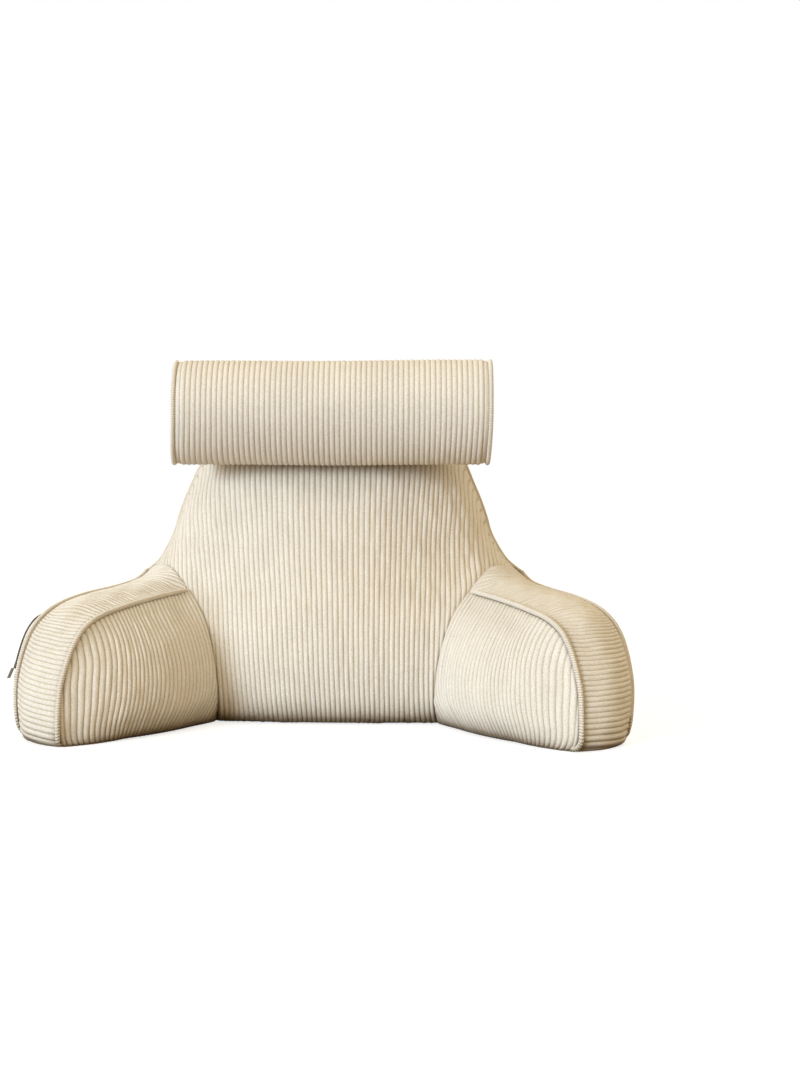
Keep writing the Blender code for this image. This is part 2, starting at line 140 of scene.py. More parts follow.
INNER_EDGE = (
    (0.1844, -0.033, 0.161),
    (0.2220, -0.109, 0.153),
    (0.2500, -0.162, 0.147),
    (0.2690, -0.197, 0.141),
    (0.2825, -0.224, 0.130),
    (0.2910, -0.244, 0.112),
    (0.2970, -0.261, 0.088),
    (0.3015, -0.277, 0.058),
    (0.3040, -0.290, 0.026),
    (0.3035, -0.292, 0.003),
)
OUTER_EDGE = (
    (0.2630, 0.106, 0.177),
    (0.2760, 0.073, 0.167),
    (0.2970, 0.022, 0.162),
    (0.3190, -0.033, 0.159),
    (0.3380, -0.082, 0.153),
    (0.3530, -0.124, 0.142),
    (0.3640, -0.159, 0.124),
    (0.3705, -0.185, 0.097),
    (0.3740, -0.206, 0.062),
    (0.3750, -0.217, 0.030),
    (0.3725, -0.218, 0.010),
    (0.3700, -0.216, 0.003),
)
EDGE_COUNT = 139
TOP_COUNT = 78  # of them along the arm's top
ARM_CORE = np.array((0.285, -0.100, 0.040))
GUSSET_CROWN = 0.011
GUSSET_FOOT_CROWN = 0.016

# How the ribs of the arm's inner panel run: at even shares of its height, from the floor up, how
# far along the panel (0 at the crotch, 1 at the piping) ribs -12, 0, 12, 24 and 36 lie.
INNER_RIB_ROWS = (
    (-0.180, 0.190, 0.492, 0.782, 1.105),
    (-0.290, 0.092, 0.446, 0.756, 1.138),
    (-0.320, 0.059, 0.430, 0.752, 1.166),
    (-0.320, 0.064, 0.444, 0.759, 1.217),
    (-0.325, 0.075, 0.474, 0.805, 1.353),
    (-0.320, 0.065, 0.506, 0.916, 1.562),
)

# The tables' middle is moved over the frame's origin, as the back's own box says.
BACK_LOW, BACK_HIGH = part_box("back")
REAR_MOST = max(row.rear + row.rear_crown for row in BACK_ROWS)
SHIFT = np.array(((BACK_LOW.x + BACK_HIGH.x) / 2.0, BACK_HIGH.y - REAR_MOST, 0.0))


# --- curves and grids ---
def unit(v):
    v = np.asarray(v, float)
    return v / np.maximum(np.linalg.norm(v, axis=-1, keepdims=True), 1e-12)


def heading(line):
    """The way in which a line runs at each of its points."""
    return unit(np.gradient(line, axis=0))


def mirrored(line):
    return line * (-1.0, 1.0, 1.0)


def both_sides(line):
    return np.vstack([line, mirrored(line)])


def kept_above(points, height):
    points[..., 2] = np.maximum(points[..., 2], height)
    return points


def smooth(x):
    x = np.clip(x, 0.0, 1.0)
    return x * x * (3.0 - 2.0 * x)


def shares(count):
    return np.linspace(0.0, 1.0, count)


def circle(count):
    return np.linspace(0.0, 2 * math.pi, count)


def stacked(*parts):
    """Numbers or grids put side by side, each spread to the shape they share."""
    return np.stack(np.broadcast_arrays(*parts), -1)


def catmull(points, at):
    points = np.asarray(points, float)
    spans = len(points) - 1
    place = np.clip(np.asarray(at, float), 0.0, 1.0) * spans
    i = np.minimum(place.astype(int), spans - 1)
    t = (place - i)[..., None]
    first, last = 2.0 * points[0] - points[1], 2.0 * points[-1] - points[-2]
    p = np.vstack([first, points, last])
    a, b, c, d = p[i], p[i + 1], p[i + 2], p[i + 3]
    square = 2.0 * a - 5.0 * b + 4.0 * c - d
    cube = 3.0 * b - a - 3.0 * c + d
    return 0.5 * (2.0 * b + (c - a) * t + square * t**2 + cube * t**3)


def lengths(points):
    step = np.linalg.norm(np.diff(points, axis=0), axis=1)
    return np.concatenate([[0.0], np.cumsum(step)])


def at_lengths(points, goal):
    along = lengths(points)
    return np.stack([np.interp(goal, along, points[:, k]) for k in range(points.shape[1])], 1)


def even(points, count):
    """`count` points at equal steps along a fine polyline."""
    return at_lengths(points, np.linspace(0.0, lengths(points)[-1], count))


def resample(points, count):
    return even(catmull(points, shares(600)), count)


def weights(value, last):
    place = np.clip(value, 0.0, 1.0) * last
    i = np.minimum(place.astype(int), last - 1)
    t = place - i
    share = (
        0.5 * (-t + 2.0 * t**2 - t**3),
        0.5 * (2.0 - 5.0 * t**2 + 3.0 * t**3),
        0.5 * (t + 4.0 * t**2 - 3.0 * t**3),
        0.5 * (-(t**2) + t**3),
    )
    return share, [np.clip(i + k, 0, last) for k in (-1, 0, 1, 2)]


def sample(grid, u, v):
    """Smooth values of a grid (columns, rows, k) at u and v from 0 to 1."""
    u_share, u_spot = weights(u, grid.shape[0] - 1)
    v_share, v_spot = weights(v, grid.shape[1] - 1)
    result = 0.0
    for a in range(4):
        for b in range(4):
            result = result + (u_share[a] * v_share[b])[..., None] * grid[u_spot[a], v_spot[b]]
    return result


def grid_normals(grid, outside):
    """Normals of a grid, turned to the side that `outside` points to on the whole."""
    n = np.cross(np.gradient(grid, axis=0), np.gradient(grid, axis=1))
    for _ in range(2):
        wide = np.pad(n, ((1, 1), (1, 1), (0, 0)), mode="edge")
        n = (wide[:-2, 1:-1] + wide[2:, 1:-1] + wide[1:-1, :-2] + wide[1:-1, 2:] + 2.0 * n) / 6.0
    n = unit(n)
    return n * np.sign((n * outside).sum())


def distance_to(points, line):
    """Distances from points to a polyline given by close points."""
    flat = points.reshape(-1, 3)
    result = np.empty(len(flat))
    batch = 4000
    for start in range(0, len(flat), batch):
        part = flat[start : start + batch]
        square = ((part[:, None] - line[None]) ** 2).sum(-1)
        result[start : start + batch] = np.sqrt(square.min(1))
    return result.reshape(points.shape[:-1])


def wobble(across, along, size, reach, seed):
    """Slow even waves over a sheet, the same on every run."""
    rng = np.random.default_rng(seed)
    total = np.zeros(np.broadcast(across, along).shape)
    waves = 6
    for _ in range(waves):
        angle, phase = rng.uniform(0, 2 * math.pi), rng.uniform(0, 2 * math.pi)
        rate = 2 * math.pi / reach * rng.uniform(0.6, 1.6)
        total = total + np.sin(rate * (math.cos(angle) * across + math.sin(angle) * along) + phase)
    return total * size / waves


# --- the mitre seam and the arm's edges (right side, table frame) ---
def seam_points(rows, count):
    curve = resample(np.array(rows), count)
    flat = MITRE_FOOT + MITRE_DIRECTION * curve[:, :1]
    flat[:, 2] = curve[:, 1]
    return flat


def beyond_mitre(x, y):
    return (x - MITRE_FOOT[0]) * MITRE_NORMAL[0] + (y - MITRE_FOOT[1]) * MITRE_NORMAL[1]


def inset(line, other, distance):
    run = heading(line)
    across = unit(other - line)
    across = unit(across - run * (across * run).sum(1, keepdims=True))
    inward = np.cross(run, across)
    flip = np.sign((inward * (ARM_CORE - line)).sum(1, keepdims=True))
    return line + unit(across + inward * flip) * distance


CROTCH_TOP = seam_points(MITRE_SEAM[: CROTCH_TOP_ROW + 1], 3)[-1]
REAR_CORNER = seam_points(MITRE_SEAM, 3)[-1]


def arm_edges():
    """The right arm's two pipings, and the edges of its panels beside them."""
    inner = resample(np.vstack([CROTCH_TOP, np.array(INNER_EDGE[1:])]), EDGE_COUNT)
    outer = inset(resample(np.array(OUTER_EDGE), EDGE_COUNT), inner, PIPING_RADIUS)
    inner_panel = inset(inner, outer, EDGE_TO_PIPING)
    outer_panel = inset(outer, inner, EDGE_TO_PIPING)
    blend = smooth(shares(EDGE_COUNT) / 0.08)[:, None]
    inner_panel = CROTCH_TOP * (1 - blend) + inner_panel * blend
    outer_panel = REAR_CORNER * (1 - blend) + outer_panel * blend
    inner_panel[-1, 2] = 0.0
    outer_panel[-1, 2] = 0.0
    return inner, outer, inner_panel, outer_panel


INNER_PIPING, OUTER_PIPING, INNER_LINE, OUTER_LINE = arm_edges()
CROTCH_LINE = seam_points(MITRE_SEAM[: CROTCH_TOP_ROW + 1], 121)
CHEVRON_LINE = seam_points(MITRE_SEAM[CROTCH_TOP_ROW:], 81)
REAR_LINE = seam_points(MITRE_REAR, 121)


def floor_line(front, rear, bow, count):
    share = shares(count)[:, None]
    along = rear - front
    across = unit((along[1], -along[0], 0.0))
    return front + along * share + across * bow * 4.0 * share * (1.0 - share)


def coons(upright, top, front, floor):
    """A grid between four sides: columns from the upright to the front, rows from floor to top."""
    u = shares(len(floor))[:, None, None]
    v = shares(len(upright))[None, :, None]
    low = floor[0] * (1 - u) + floor[-1] * u
    high = top[0] * (1 - u) + top[-1] * u
    lofts = floor[:, None] * (1 - v) + top[:, None] * v
    lofts = lofts + upright[None] * (1 - u) + front[None] * u
    return lofts - low * (1 - v) - high * v


FACE_COLUMNS, FACE_ROWS = 61, 49


def face_grid(upright, edge, bow, crown, out):
    top = even(edge[:TOP_COUNT], FACE_COLUMNS)
    front = even(edge[TOP_COUNT - 1 :][::-1], FACE_ROWS)
    floor = floor_line(edge[-1], upright[0], bow, FACE_COLUMNS)[::-1]
    grid = coons(even(upright, FACE_ROWS), top, front, even(floor, FACE_COLUMNS))
    u = shares(FACE_COLUMNS)[:, None, None]
    v = shares(FACE_ROWS)[None, :, None]
    swell = (16.0 * u * (1 - u) * v * (1 - v)) ** 0.75
    return grid + unit(out) * crown * swell


GUSSET_ROWS = 17


def gusset_grid():
    """The strip over the arm: columns along it from the mitre to the floor, rows across it."""
    over = seam_points(MITRE_SEAM[CROTCH_TOP_ROW:], GUSSET_ROWS)
    share = shares(GUSSET_ROWS)[None, :, None]
    flat = INNER_LINE[:, None] * (1 - share) + OUTER_LINE[:, None] * share
    run = unit(np.gradient(INNER_LINE, axis=0) + np.gradient(OUTER_LINE, axis=0))
    out = unit(np.cross(run, OUTER_LINE - INNER_LINE))
    down = shares(EDGE_COUNT)[:, None, None]
    crown = GUSSET_CROWN + (GUSSET_FOOT_CROWN - GUSSET_CROWN) * down**3
    grid = flat + out[:, None] * crown * 4.0 * share * (1 - share) * smooth(down / 0.02)
    # over the mitre the strip follows the seam, and eases into its own crown away from it
    ease = np.exp(-((down / 0.10) ** 2))
    straight = INNER_LINE[0] * (1 - share[0]) + OUTER_LINE[0] * share[0]
    bulge = out[0] * GUSSET_CROWN * 4.0 * share[0] * (1 - share[0])
    grid = grid + (over - straight - bulge)[None] * ease
    grid[0] = over
    return grid, run


INNER_GRID = face_grid(CROTCH_LINE, INNER_LINE, -0.024, 0.012, (-0.73, -0.68, 0.10))
OUTER_GRID = face_grid(REAR_LINE, OUTER_LINE, 0.012, 0.012, (0.92, 0.38, 0.0))
GUSSET_GRID, GUSSET_RUN = gusset_grid()


# --- the back's shape ---
FINE_ROWS = catmull(np.array(BACK_ROWS), shares(661))
TOP_ROW = BACK_ROWS[-1]
BACK_TOP = TOP_ROW.height


def back_row(z):
    return [np.interp(z, FINE_ROWS[:, 0], FINE_ROWS[:, k]) for k in range(1, 6)]


def front_y(x, z):
    half, front, rear, power, _ = back_row(z)
    t = np.minimum(np.abs(x) / half, 1.0)
    return rear - (rear - front) * (1.0 - t**power) ** (1.0 / power)


def front_level(x, y, z):
    half, front, rear, power, _ = back_row(z)
    depth = np.maximum(rear - y, 0.0) / (rear - front)
    return (np.abs(x) / half) ** power + depth**power


def front_normal(p):
    x, y, z = p[..., 0], p[..., 1], p[..., 2]
    step = 0.0004
    slopes = []
    for dx, dy, dz in np.eye(3) * step:
        slopes.append(front_level(x + dx, y + dy, z + dz) - front_level(x - dx, y - dy, z - dz))
    return unit(np.stack(slopes, -1))


def rib_row(z):
    height, spacing, middle = np.array(RIB_ROWS).T
    return np.interp(z, height, spacing), np.interp(z, height, middle)


SIDE_CROWDING = 0.05  # the ribs draw together where the back turns to its sides


def crowding(x, z):
    return 1.0 + SIDE_CROWDING * np.minimum(np.abs(x) / back_row(z)[0], 1.15) ** 6


def rib_x(rib, z):
    """Where a rib of the front runs at each height. Rib 0 to 1 is the middle one."""
    spacing, middle = rib_row(z)
    x = middle + (rib - 0.5) * spacing
    for _ in range(4):
        x = middle + (rib - 0.5) * spacing / crowding(x, z)
    return x


def rib_at(x, z):
    spacing, middle = rib_row(z)
    return 0.5 + (x - middle) / spacing * crowding(x, z)


# --- what the filling does ---
VOXEL = 0.006
UNDERSIZE = 0.003  # the cloth starts this far inside the solid and is pressed out
PRESSURE = 4.0
SIM_FRAMES = 20
SWELL_CAP = 0.008
SMOOTHING = 32
PIN_REACH = 0.010
FLOOR_HOLD = 1.5  # the floor holds the cloth as a seam this many times as far away would


def give(item, **settings):
    for key, value in settings.items():
        setattr(item, key, value)
    return item


def new_item(name, data):
    item = bpy.data.objects.new(name, data)
    bpy.context.scene.collection.objects.link(item)
    return item


def cad_mesh(node_name):
    """A copy of a CAD solid's mesh, where the solid stands."""
    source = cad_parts[node_name]
    mesh = source.data.copy()
    mesh.transform(source.matrix_world)
    return mesh


def read(items, name):
    values = np.empty(len(items) * 3)
    items.foreach_get(name, values)
    return values.reshape(-1, 3)


def evaluated(item):
    return item.evaluated_get(bpy.context.evaluated_depsgraph_get())


def remesh(item):
    give(item.modifiers.new("remesh", "REMESH"), mode="VOXEL", voxel_size=VOXEL)
    fine = bpy.data.meshes.new_from_object(evaluated(item))
    item.modifiers.clear()
    item.data = fine
    return fine


def press_out(item, held):
    """Runs the cloth simulation. The vertices near a seam or the floor are pinned."""
    group = item.vertex_groups.new(name="pin")
    for index in np.nonzero(held < PIN_REACH)[0]:
        group.add([int(index)], float(1.0 - smooth(held[index] / PIN_REACH)), "REPLACE")
    cloth = give(item.modifiers.new("cloth", "CLOTH").settings, quality=5, mass=0.3, use_pressure=True)
    give(cloth, uniform_pressure_force=PRESSURE, shrink_min=-0.012, bending_stiffness=0.6)
    cloth.vertex_group_mass = "pin"
    cloth.effector_weights.gravity = 0.0
    for number in range(1, SIM_FRAMES + 1):
        bpy.context.scene.frame_set(number)
    return read(evaluated(item).data.vertices, "co")


def evened(swell, mesh):
    """Each vertex's value smoothed with those of its neighbours."""
    ends = np.empty(len(mesh.edges) * 2, dtype=np.int32)
    mesh.edges.foreach_get("vertices", ends)
    first, second = ends.reshape(-1, 2).T
    count = len(swell)
    around = np.bincount(ends, minlength=count)
    for _ in range(SMOOTHING):
        total = np.bincount(first, swell[second], count) + np.bincount(second, swell[first], count)
        swell = 0.5 * swell + 0.5 * total / np.maximum(around, 1)
    return swell


class Swelling:
    """How far a chamber's skin moves when the filling presses it out, from a cloth simulation."""

    def __init__(self, node_name, seams):
        self.tree = None
        item = new_item("swelling", cad_mesh(node_name))
        fine = remesh(item)
        places = read(fine.vertices, "co")
        out = read(fine.vertex_normals, "vector")
        fine.vertices.foreach_set("co", (places - out * UNDERSIZE).ravel())
        fine.update()
        held = np.minimum(distance_to(places - SHIFT, seams), places[:, 2] * FLOOR_HOLD)
        moved = press_out(item, held) - places
        self.swell = evened(np.clip((moved * out).sum(1), -SWELL_CAP, SWELL_CAP), fine)
        self.tree = kdtree.KDTree(len(places))
        for index, place in enumerate(places - SHIFT):
            self.tree.insert(place, index)
        self.tree.balance()
        bpy.context.scene.frame_set(1)
        bpy.data.objects.remove(item, do_unlink=True)

    def move(self, points, normals, seam_distance):
        """Points moved with the skin, but not where a seam holds it."""
        if self.tree is None:
            return points
        flat = points.reshape(-1, 3)
        shifts = np.empty(len(flat))
        for index, place in enumerate(flat):
            near = self.tree.find_n(place, 8)
            share = np.array([1.0 / (item[2] + 0.001) for item in near])
            shifts[index] = share @ self.swell[[item[1] for item in near]] / share.sum()
        loose = smooth((seam_distance - 0.002) / 0.022) * smooth(points[..., 2] / 0.020)
        return points + normals * (shifts.reshape(loose.shape) * loose)[..., None]


Band = namedtuple("Band", "low high ease")
ARM_BAND = Band(0.045, 0.175, 0.06)  # the heights at which the arms bulge outward
BACK_BAND = Band(0.183, 0.345, 0.10)  # and those at which the back leans
ARM_START, ARM_EASE = 0.22, 0.10  # and how far from the middle each begins
SHOULDER_START, SHOULDER_EASE = 0.10, 0.09
NOOK = (0.229, 0.181)  # where the back's flank meets the arm's top, which the filling rounds
NOOK_REACH = 0.050
NOOK_FILL = 0.0050


def within(value, band):
    rising = smooth((value - band.low) / band.ease + 0.5)
    return rising * smooth((band.high - value) / band.ease + 0.5)


def stuffed(points):
    """The small ways in which the filled covers stray from the solids' even shape."""
    moved = points.copy()
    x, z = points[..., 0], points[..., 2]
    arm = smooth((np.abs(x) - ARM_START) / ARM_EASE) * within(z, ARM_BAND)
    moved[..., 0] += np.where(x < 0.0, -LEFT_SPREAD, RIGHT_SPREAD) * arm
    back = within(z, BACK_BAND) * smooth((np.abs(x) - SHOULDER_START) / SHOULDER_EASE)
    moved[..., 0] -= np.where(x < 0.0, LEFT_SHOULDER, RIGHT_SHOULDER) * back
    away = np.hypot(np.abs(x) - NOOK[0], z - NOOK[1]) / NOOK_REACH
    rounded = NOOK_FILL * np.exp(-(away**2))
    moved[..., 0] += 0.6 * np.sign(x) * rounded
    moved[..., 2] += 0.8 * rounded
    moved[..., 2] += LIFT * smooth(z / 0.030)
    return moved


# --- sheets of ribs ---


class Piece:
    """Collects sheets and makes one mesh object of them."""

    def __init__(self, name):
        self.name = name
        self.points = []
        self.faces = []
        self.looks = []
        self.count = 0

    def add(self, points, looks, flip=False):
        """A grid of points (columns, rows, 3) with its looks: across, along, height on the rib, which also
        sets the colour's painted groove shade.
        """
        columns, rows = points.shape[:2]
        i, j = np.meshgrid(np.arange(columns - 1), np.arange(rows - 1), indexing="ij")
        a = (i * rows + j).ravel()
        corners = (a, a + rows, a + rows + 1, a + 1)
        faces = np.stack(corners[::-1] if flip else corners, 1)
        self.points.append(points.reshape(-1, 3))
        self.faces.append(faces + self.count)
        self.looks.append(looks.reshape(-1, 3))
        self.count += columns * rows

    def make(self, material, mirror=1.0):
        points = stuffed(np.vstack(self.points) * (mirror, 1.0, 1.0) + SHIFT)
        faces = np.vstack(self.faces)
        if mirror < 0:
            faces = faces[:, ::-1]
        mesh = bpy.data.meshes.new(self.name)
        mesh.from_pydata(points, [], faces.tolist())
        layer = mesh.attributes.new("cloth", "FLOAT_VECTOR", "POINT")
        layer.data.foreach_set("vector", np.vstack(self.looks).astype(np.float32).ravel())
        mesh.validate()
        clean(mesh)
        mesh.shade_smooth()
        mesh.materials.append(material)
        return new_item(self.name, mesh)


def clean(mesh):
    work = bmesh.new()
    work.from_mesh(mesh)
    bmesh.ops.remove_doubles(work, verts=work.verts[:], dist=0.00002)
    flat = [face for face in work.faces if face.calc_area() < 1e-10]
    bmesh.ops.delete(work, geom=flat, context="FACES")
    loose = [vert for vert in work.verts if not vert.link_faces]
    bmesh.ops.delete(work, geom=loose, context="VERTS")
    work.to_mesh(mesh)
    work.free()


def rib_columns(first, last, samples=RIB_SAMPLES):
    """Rib coordinates of all columns from one whole rib to another."""
    values = [k + share for k in range(first, last) for share in samples]
    return np.array(values + [float(last)])


def rib_form(ribs):
    """How high each column stands: 0 in a groove, 1 on a rib's top."""
    share = (ribs - np.floor(ribs))[:, None]
    return 1.0 - np.abs(2.0 * share - 1.0) ** RIB_POWER


PIPED_DEPTH, PIPED_REACH = 0.0019, 0.0060
PLAIN_DEPTH, PLAIN_REACH = 0.0006, 0.0040
RIB_WANDER = 0.04  # of a rib's pitch
UNEVENNESS, UNEVEN_REACH = 0.55, 0.05  # how much the ribs' height changes along them
SLACK, SLACK_REACH = 0.0012, 0.055  # the waves of the loose cloth between the seams
Seam = namedtuple("Seam", "line depth reach")


def piped(line):
    return Seam(line, PIPED_DEPTH, PIPED_REACH)


def plain(line):
    return Seam(line, PLAIN_DEPTH, PLAIN_REACH)


def rib_sheet(piece, points, normals, ribs, seams, wall, corners, swelling, seed):
    """Adds a sheet of ribs. points: (columns, rows, 3), each column lying along a rib."""
    step = np.linalg.norm(np.diff(points, axis=1), axis=2)
    along = np.concatenate([np.zeros((len(points), 1)), np.cumsum(step, axis=1)], 1)
    across = (ribs * RIB_PITCH)[:, None]
    number = np.floor(ribs)[:, None]
    form = rib_form(ribs) * (1.0 + wobble(number * 0.02, along, UNEVENNESS, UNEVEN_REACH, seed))
    drawn = 0.0
    nearest = np.full(along.shape, 1.0)
    painted_seam_shade, relief = 1.0, 1.0
    for seam in seams:
        distance = distance_to(points, seam.line)
        drawn = np.maximum(drawn, seam.depth * (1.0 - smooth(distance / seam.reach)) ** 1.5)
        # the colour darkens close to each seam: painted shade of the drawn-in seam
        painted_seam_shade = np.minimum(painted_seam_shade, 0.5 + 0.5 * smooth(distance / (0.0004 + 0.7 * seam.depth)))
        relief = np.minimum(relief, 0.1 + 0.9 * smooth(distance / (0.001 + 2.5 * seam.depth)))
        nearest = np.minimum(nearest, distance)
    points = swelling.move(points, normals, nearest)
    soft = wobble(across, along, SLACK, SLACK_REACH, seed + 50) * smooth(nearest / 0.03)
    placed = points + normals * (form * relief * RIB_HEIGHT - drawn + soft)[..., None]
    placed = settle(placed, normals, wall, corners)
    looks = stacked(across, along, np.clip(form * painted_seam_shade, 0.0, 1.0))
    i, j = len(points) // 2, points.shape[1] // 2
    facing = np.cross(points[i + 4, j] - points[i - 4, j], points[i, j + 1] - points[i, j - 1])
    flip = float(facing @ normals[i, j]) < 0.0
    placed, looks = add_skirt(placed, looks, normals)
    piece.add(placed, looks, flip)


FOOT_REACH = 0.048
Corner = namedtuple("Corner", "x y out_x out_y height depth reach")


def corner(foot, one, other, height, depth, turned=None):
    """Where two walls meet at the floor, and the way out of both."""
    one, other = (unit(np.multiply(v, (1.0, 1.0, 0.0))) for v in (one, other))
    middle = unit(one + other)
    out = middle / (middle @ one) if turned is None else turned
    return Corner(foot[0], foot[1], out[0], out[1], height, depth, FOOT_REACH)


WallFoot = namedtuple("WallFoot", "height depth")
BROAD_FOOT = WallFoot(0.036, 0.019)
PLAIN_FOOT = WallFoot(0.034, 0.012)
TOE_FOOT = WallFoot(0.020, 0.009)


def settle(points, normals, wall, corners):
    """Rolls the walls under towards the floor, alike on both sides of each corner."""
    way = unit(normals * (1.0, 1.0, 0.0))
    height, depth = wall
    side = np.where(points[..., 0] < 0.0, -1.0, 1.0)
    for spot in corners:
        away = np.hypot(np.abs(points[..., 0]) - spot.x, points[..., 1] - spot.y)
        near = 1.0 - smooth(away / spot.reach)
        height = height * (1 - near) + spot.height * near
        depth = depth * (1 - near) + spot.depth * near
        out = stacked(spot.out_x * side, spot.out_y, 0.0)
        way = way * (1 - near[..., None]) + out * near[..., None]
    low = np.clip(1.0 - points[..., 2] / height, 0.0, 1.0)
    under = depth * (1.0 - np.sqrt(1.0 - 0.985 * low**2))
    steep = smooth(np.linalg.norm(normals[..., :2], axis=-1) / 0.5)
    return kept_above(points - way * (under * steep)[..., None], FLOOR_GAP)


def add_skirt(points, looks, normals):
    """Turns the sheet's borders inward, out of sight."""
    for axis in (1, 0):
        wider = [(1, 1) if k == axis else (0, 0) for k in range(3)]
        points, looks, normals = (np.pad(grid, wider, mode="edge") for grid in (points, looks, normals))
        border = np.swapaxes(points, 0, axis)
        border[[0, -1]] -= np.swapaxes(normals, 0, axis)[[0, -1]] * SKIRT
    return kept_above(points, FLOOR_GAP), looks


# --- the back ---
ROW_STEP = 0.0075
REAR_CURVE = np.stack([FINE_ROWS[:, 1], FINE_ROWS[:, 3], FINE_ROWS[:, 0]], 1)
REAR_CURVE = REAR_CURVE[REAR_CURVE[:, 2] >= REAR_CORNER[2]]
TOP_EDGE = stacked(np.linspace(0.0, TOP_ROW.half_width, 60), TOP_ROW.rear, BACK_TOP)
REAR_SEAM = both_sides(np.vstack([even(REAR_CURVE, 220), TOP_EDGE]))
MITRE_LINE = both_sides(seam_points(MITRE_SEAM, 220))
MITRE_REAR_LINE = both_sides(REAR_LINE)

INNER_OUT, OUTER_OUT = (-0.728, -0.685, 0.0), (0.92, 0.38, 0.0)
TOE = unit(OUTER_LINE[-1] - INNER_LINE[-1])
TOE_OUT = (TOE[1], -TOE[0], 0.0)
CROTCH = corner(MITRE_FOOT, INNER_OUT, (0.144, -0.99, 0.0), 0.036, 0.015)
REAR_FOOT = corner(REAR_LINE[0], OUTER_OUT, (0.0, 1.0, 0.0), 0.034, 0.012)
INWARD = unit(CROTCH_LINE[0] - INNER_LINE[-1])
INNER_TOES = {
    -1.0: corner(INNER_LINE[-1], INNER_OUT, TOE_OUT, 0.012, 0.006, -0.8 * INWARD),
    1.0: corner(INNER_LINE[-1], INNER_OUT, TOE_OUT, 0.018, 0.010, -INWARD),
}
INNER_TOE_REACH = 0.110  # the inner panel rolls under only gradually away from its toe
OUTER_TOES = {
    -1.0: corner(OUTER_LINE[-1], OUTER_OUT, TOE_OUT, 0.012, 0.003),
    1.0: corner(OUTER_LINE[-1], OUTER_OUT, TOE_OUT, 0.009, 0.004),
}


def crossing(places, values):
    """The first place whose value is above 0, and where between the places it passes 0."""
    above = np.nonzero(values > 0.0)[0]
    if not len(above):
        return None, places[-1]
    k = above[0]
    step = (places[k] - places[k - 1]) * values[k - 1] / (values[k - 1] - values[k])
    return k, places[k - 1] + step


def front_column(rib):
    """A rib's path over the back's front: from its upper end down to the floor or the mitre."""
    rough = np.linspace(0.0, BACK_TOP, 849)
    k, top = crossing(rough, np.abs(rib_x(rib, rough)) - back_row(rough)[0])
    if k == 0:
        return None
    z = top * (1.0 - shares(420) ** 2)
    settled = smooth((top - z) / 0.03)
    x = rib_x(rib + wobble(rib * RIB_PITCH, z, RIB_WANDER, 0.06, 90) * settled, z)
    limit = back_row(z)[0]
    x = np.clip(x, -limit, limit)
    path = np.stack([x, front_y(x, z), z], 1)
    if top == BACK_TOP:
        rear = TOP_ROW.rear
        path = np.vstack([(x[0], rear, top + 0.0004), (x[0], rear - 0.004, top + 0.0012), path])
    k, end = crossing(path, beyond_mitre(np.abs(path[:, 0]), path[:, 1]))
    if k is None:
        return path
    if k < 3:
        return None
    return np.vstack([path[:k], end, end + unit(path[k] - path[k - 1]) * LAP])


def build_front(piece, swelling):
    reach = 20
    while front_column(reach + 1.0) is not None and front_column(-reach) is not None:
        reach += 1
    ribs = rib_columns(-reach, reach + 1)
    paths = [front_column(rib) for rib in ribs]
    kept = [k for k, path in enumerate(paths) if path is not None]
    longest = max(lengths(paths[k])[-1] for k in kept)
    rows = int(math.ceil(longest / ROW_STEP)) + 1
    steps = np.arange(rows) * ROW_STEP
    points = np.array([at_lengths(paths[k], steps) for k in kept])
    normals = front_normal(points)
    seams = (piped(REAR_SEAM), plain(MITRE_LINE))
    rib_sheet(piece, points, normals, ribs[kept], seams, BROAD_FOOT, (CROTCH,), swelling, 3)


def build_rear(piece, swelling):
    reach = int(0.262 / RIB_PITCH) + 1
    ribs = rib_columns(-reach, reach, COARSE_SAMPLES)
    z = np.linspace(0.0, BACK_TOP, 53)
    x = ribs[:, None] * RIB_PITCH
    half, _, rear, _, crown = back_row(z)
    mitre = np.interp(z, REAR_LINE[:, 2], REAR_LINE[:, 0], right=1.0)
    limit = np.minimum(half, mitre)
    x = np.clip(x, -limit, limit)
    y = rear + crown * (1.0 - np.minimum(np.abs(x) / half, 1.0) ** 4)
    points = stacked(x, y, z)
    normals = grid_normals(points[::6], (0.0, 1.0, 0.0))
    u, v = np.meshgrid(shares(len(ribs)), shares(len(z)), indexing="ij")
    normals = unit(sample(normals, u, v) + (0.0, 0.6, 0.0))
    seams = (piped(REAR_SEAM), plain(MITRE_REAR_LINE))
    rib_sheet(piece, points, normals, ribs, seams, PLAIN_FOOT, (REAR_FOOT,), swelling, 5)


def base_sheet(piece, points, ribs):
    """The flat underside, its ribs pressed down."""
    form = rib_form(ribs)
    flat = points.copy()
    flat[..., 2] = FLOOR_GAP + (1.0 - form) * 0.0005
    across, along = (ribs * RIB_PITCH)[:, None], np.linspace(0.0, 0.2, points.shape[1])
    facing = np.cross(flat[8, 1] - flat[0, 1], flat[8, 2] - flat[8, 1])
    piece.add(flat, stacked(across, along, form * 0.8), facing[2] > 0.0)


def build_back_base(piece):
    margin = BROAD_FOOT.depth - 0.004
    reach = int(0.25 / RIB_PITCH)
    ribs = rib_columns(-reach, reach, COARSE_SAMPLES)
    x = ribs * RIB_PITCH
    front = front_y(x, 0.0 * x) + margin
    mitre = MITRE_FOOT[1] + (np.abs(x) - MITRE_FOOT[0]) / MITRE_DIRECTION[0] * MITRE_DIRECTION[1]
    rear = BACK_ROWS[0].rear - margin
    front = np.minimum(np.maximum(front, mitre), rear)
    v = shares(9)[None]
    y = front[:, None] * (1 - v) + rear * v
    base_sheet(piece, stacked(x[:, None], y, 0.0), ribs)


# --- the arms ---
ARM_SEAMS = (piped(even(INNER_LINE, 240)), piped(even(OUTER_LINE, 260)))


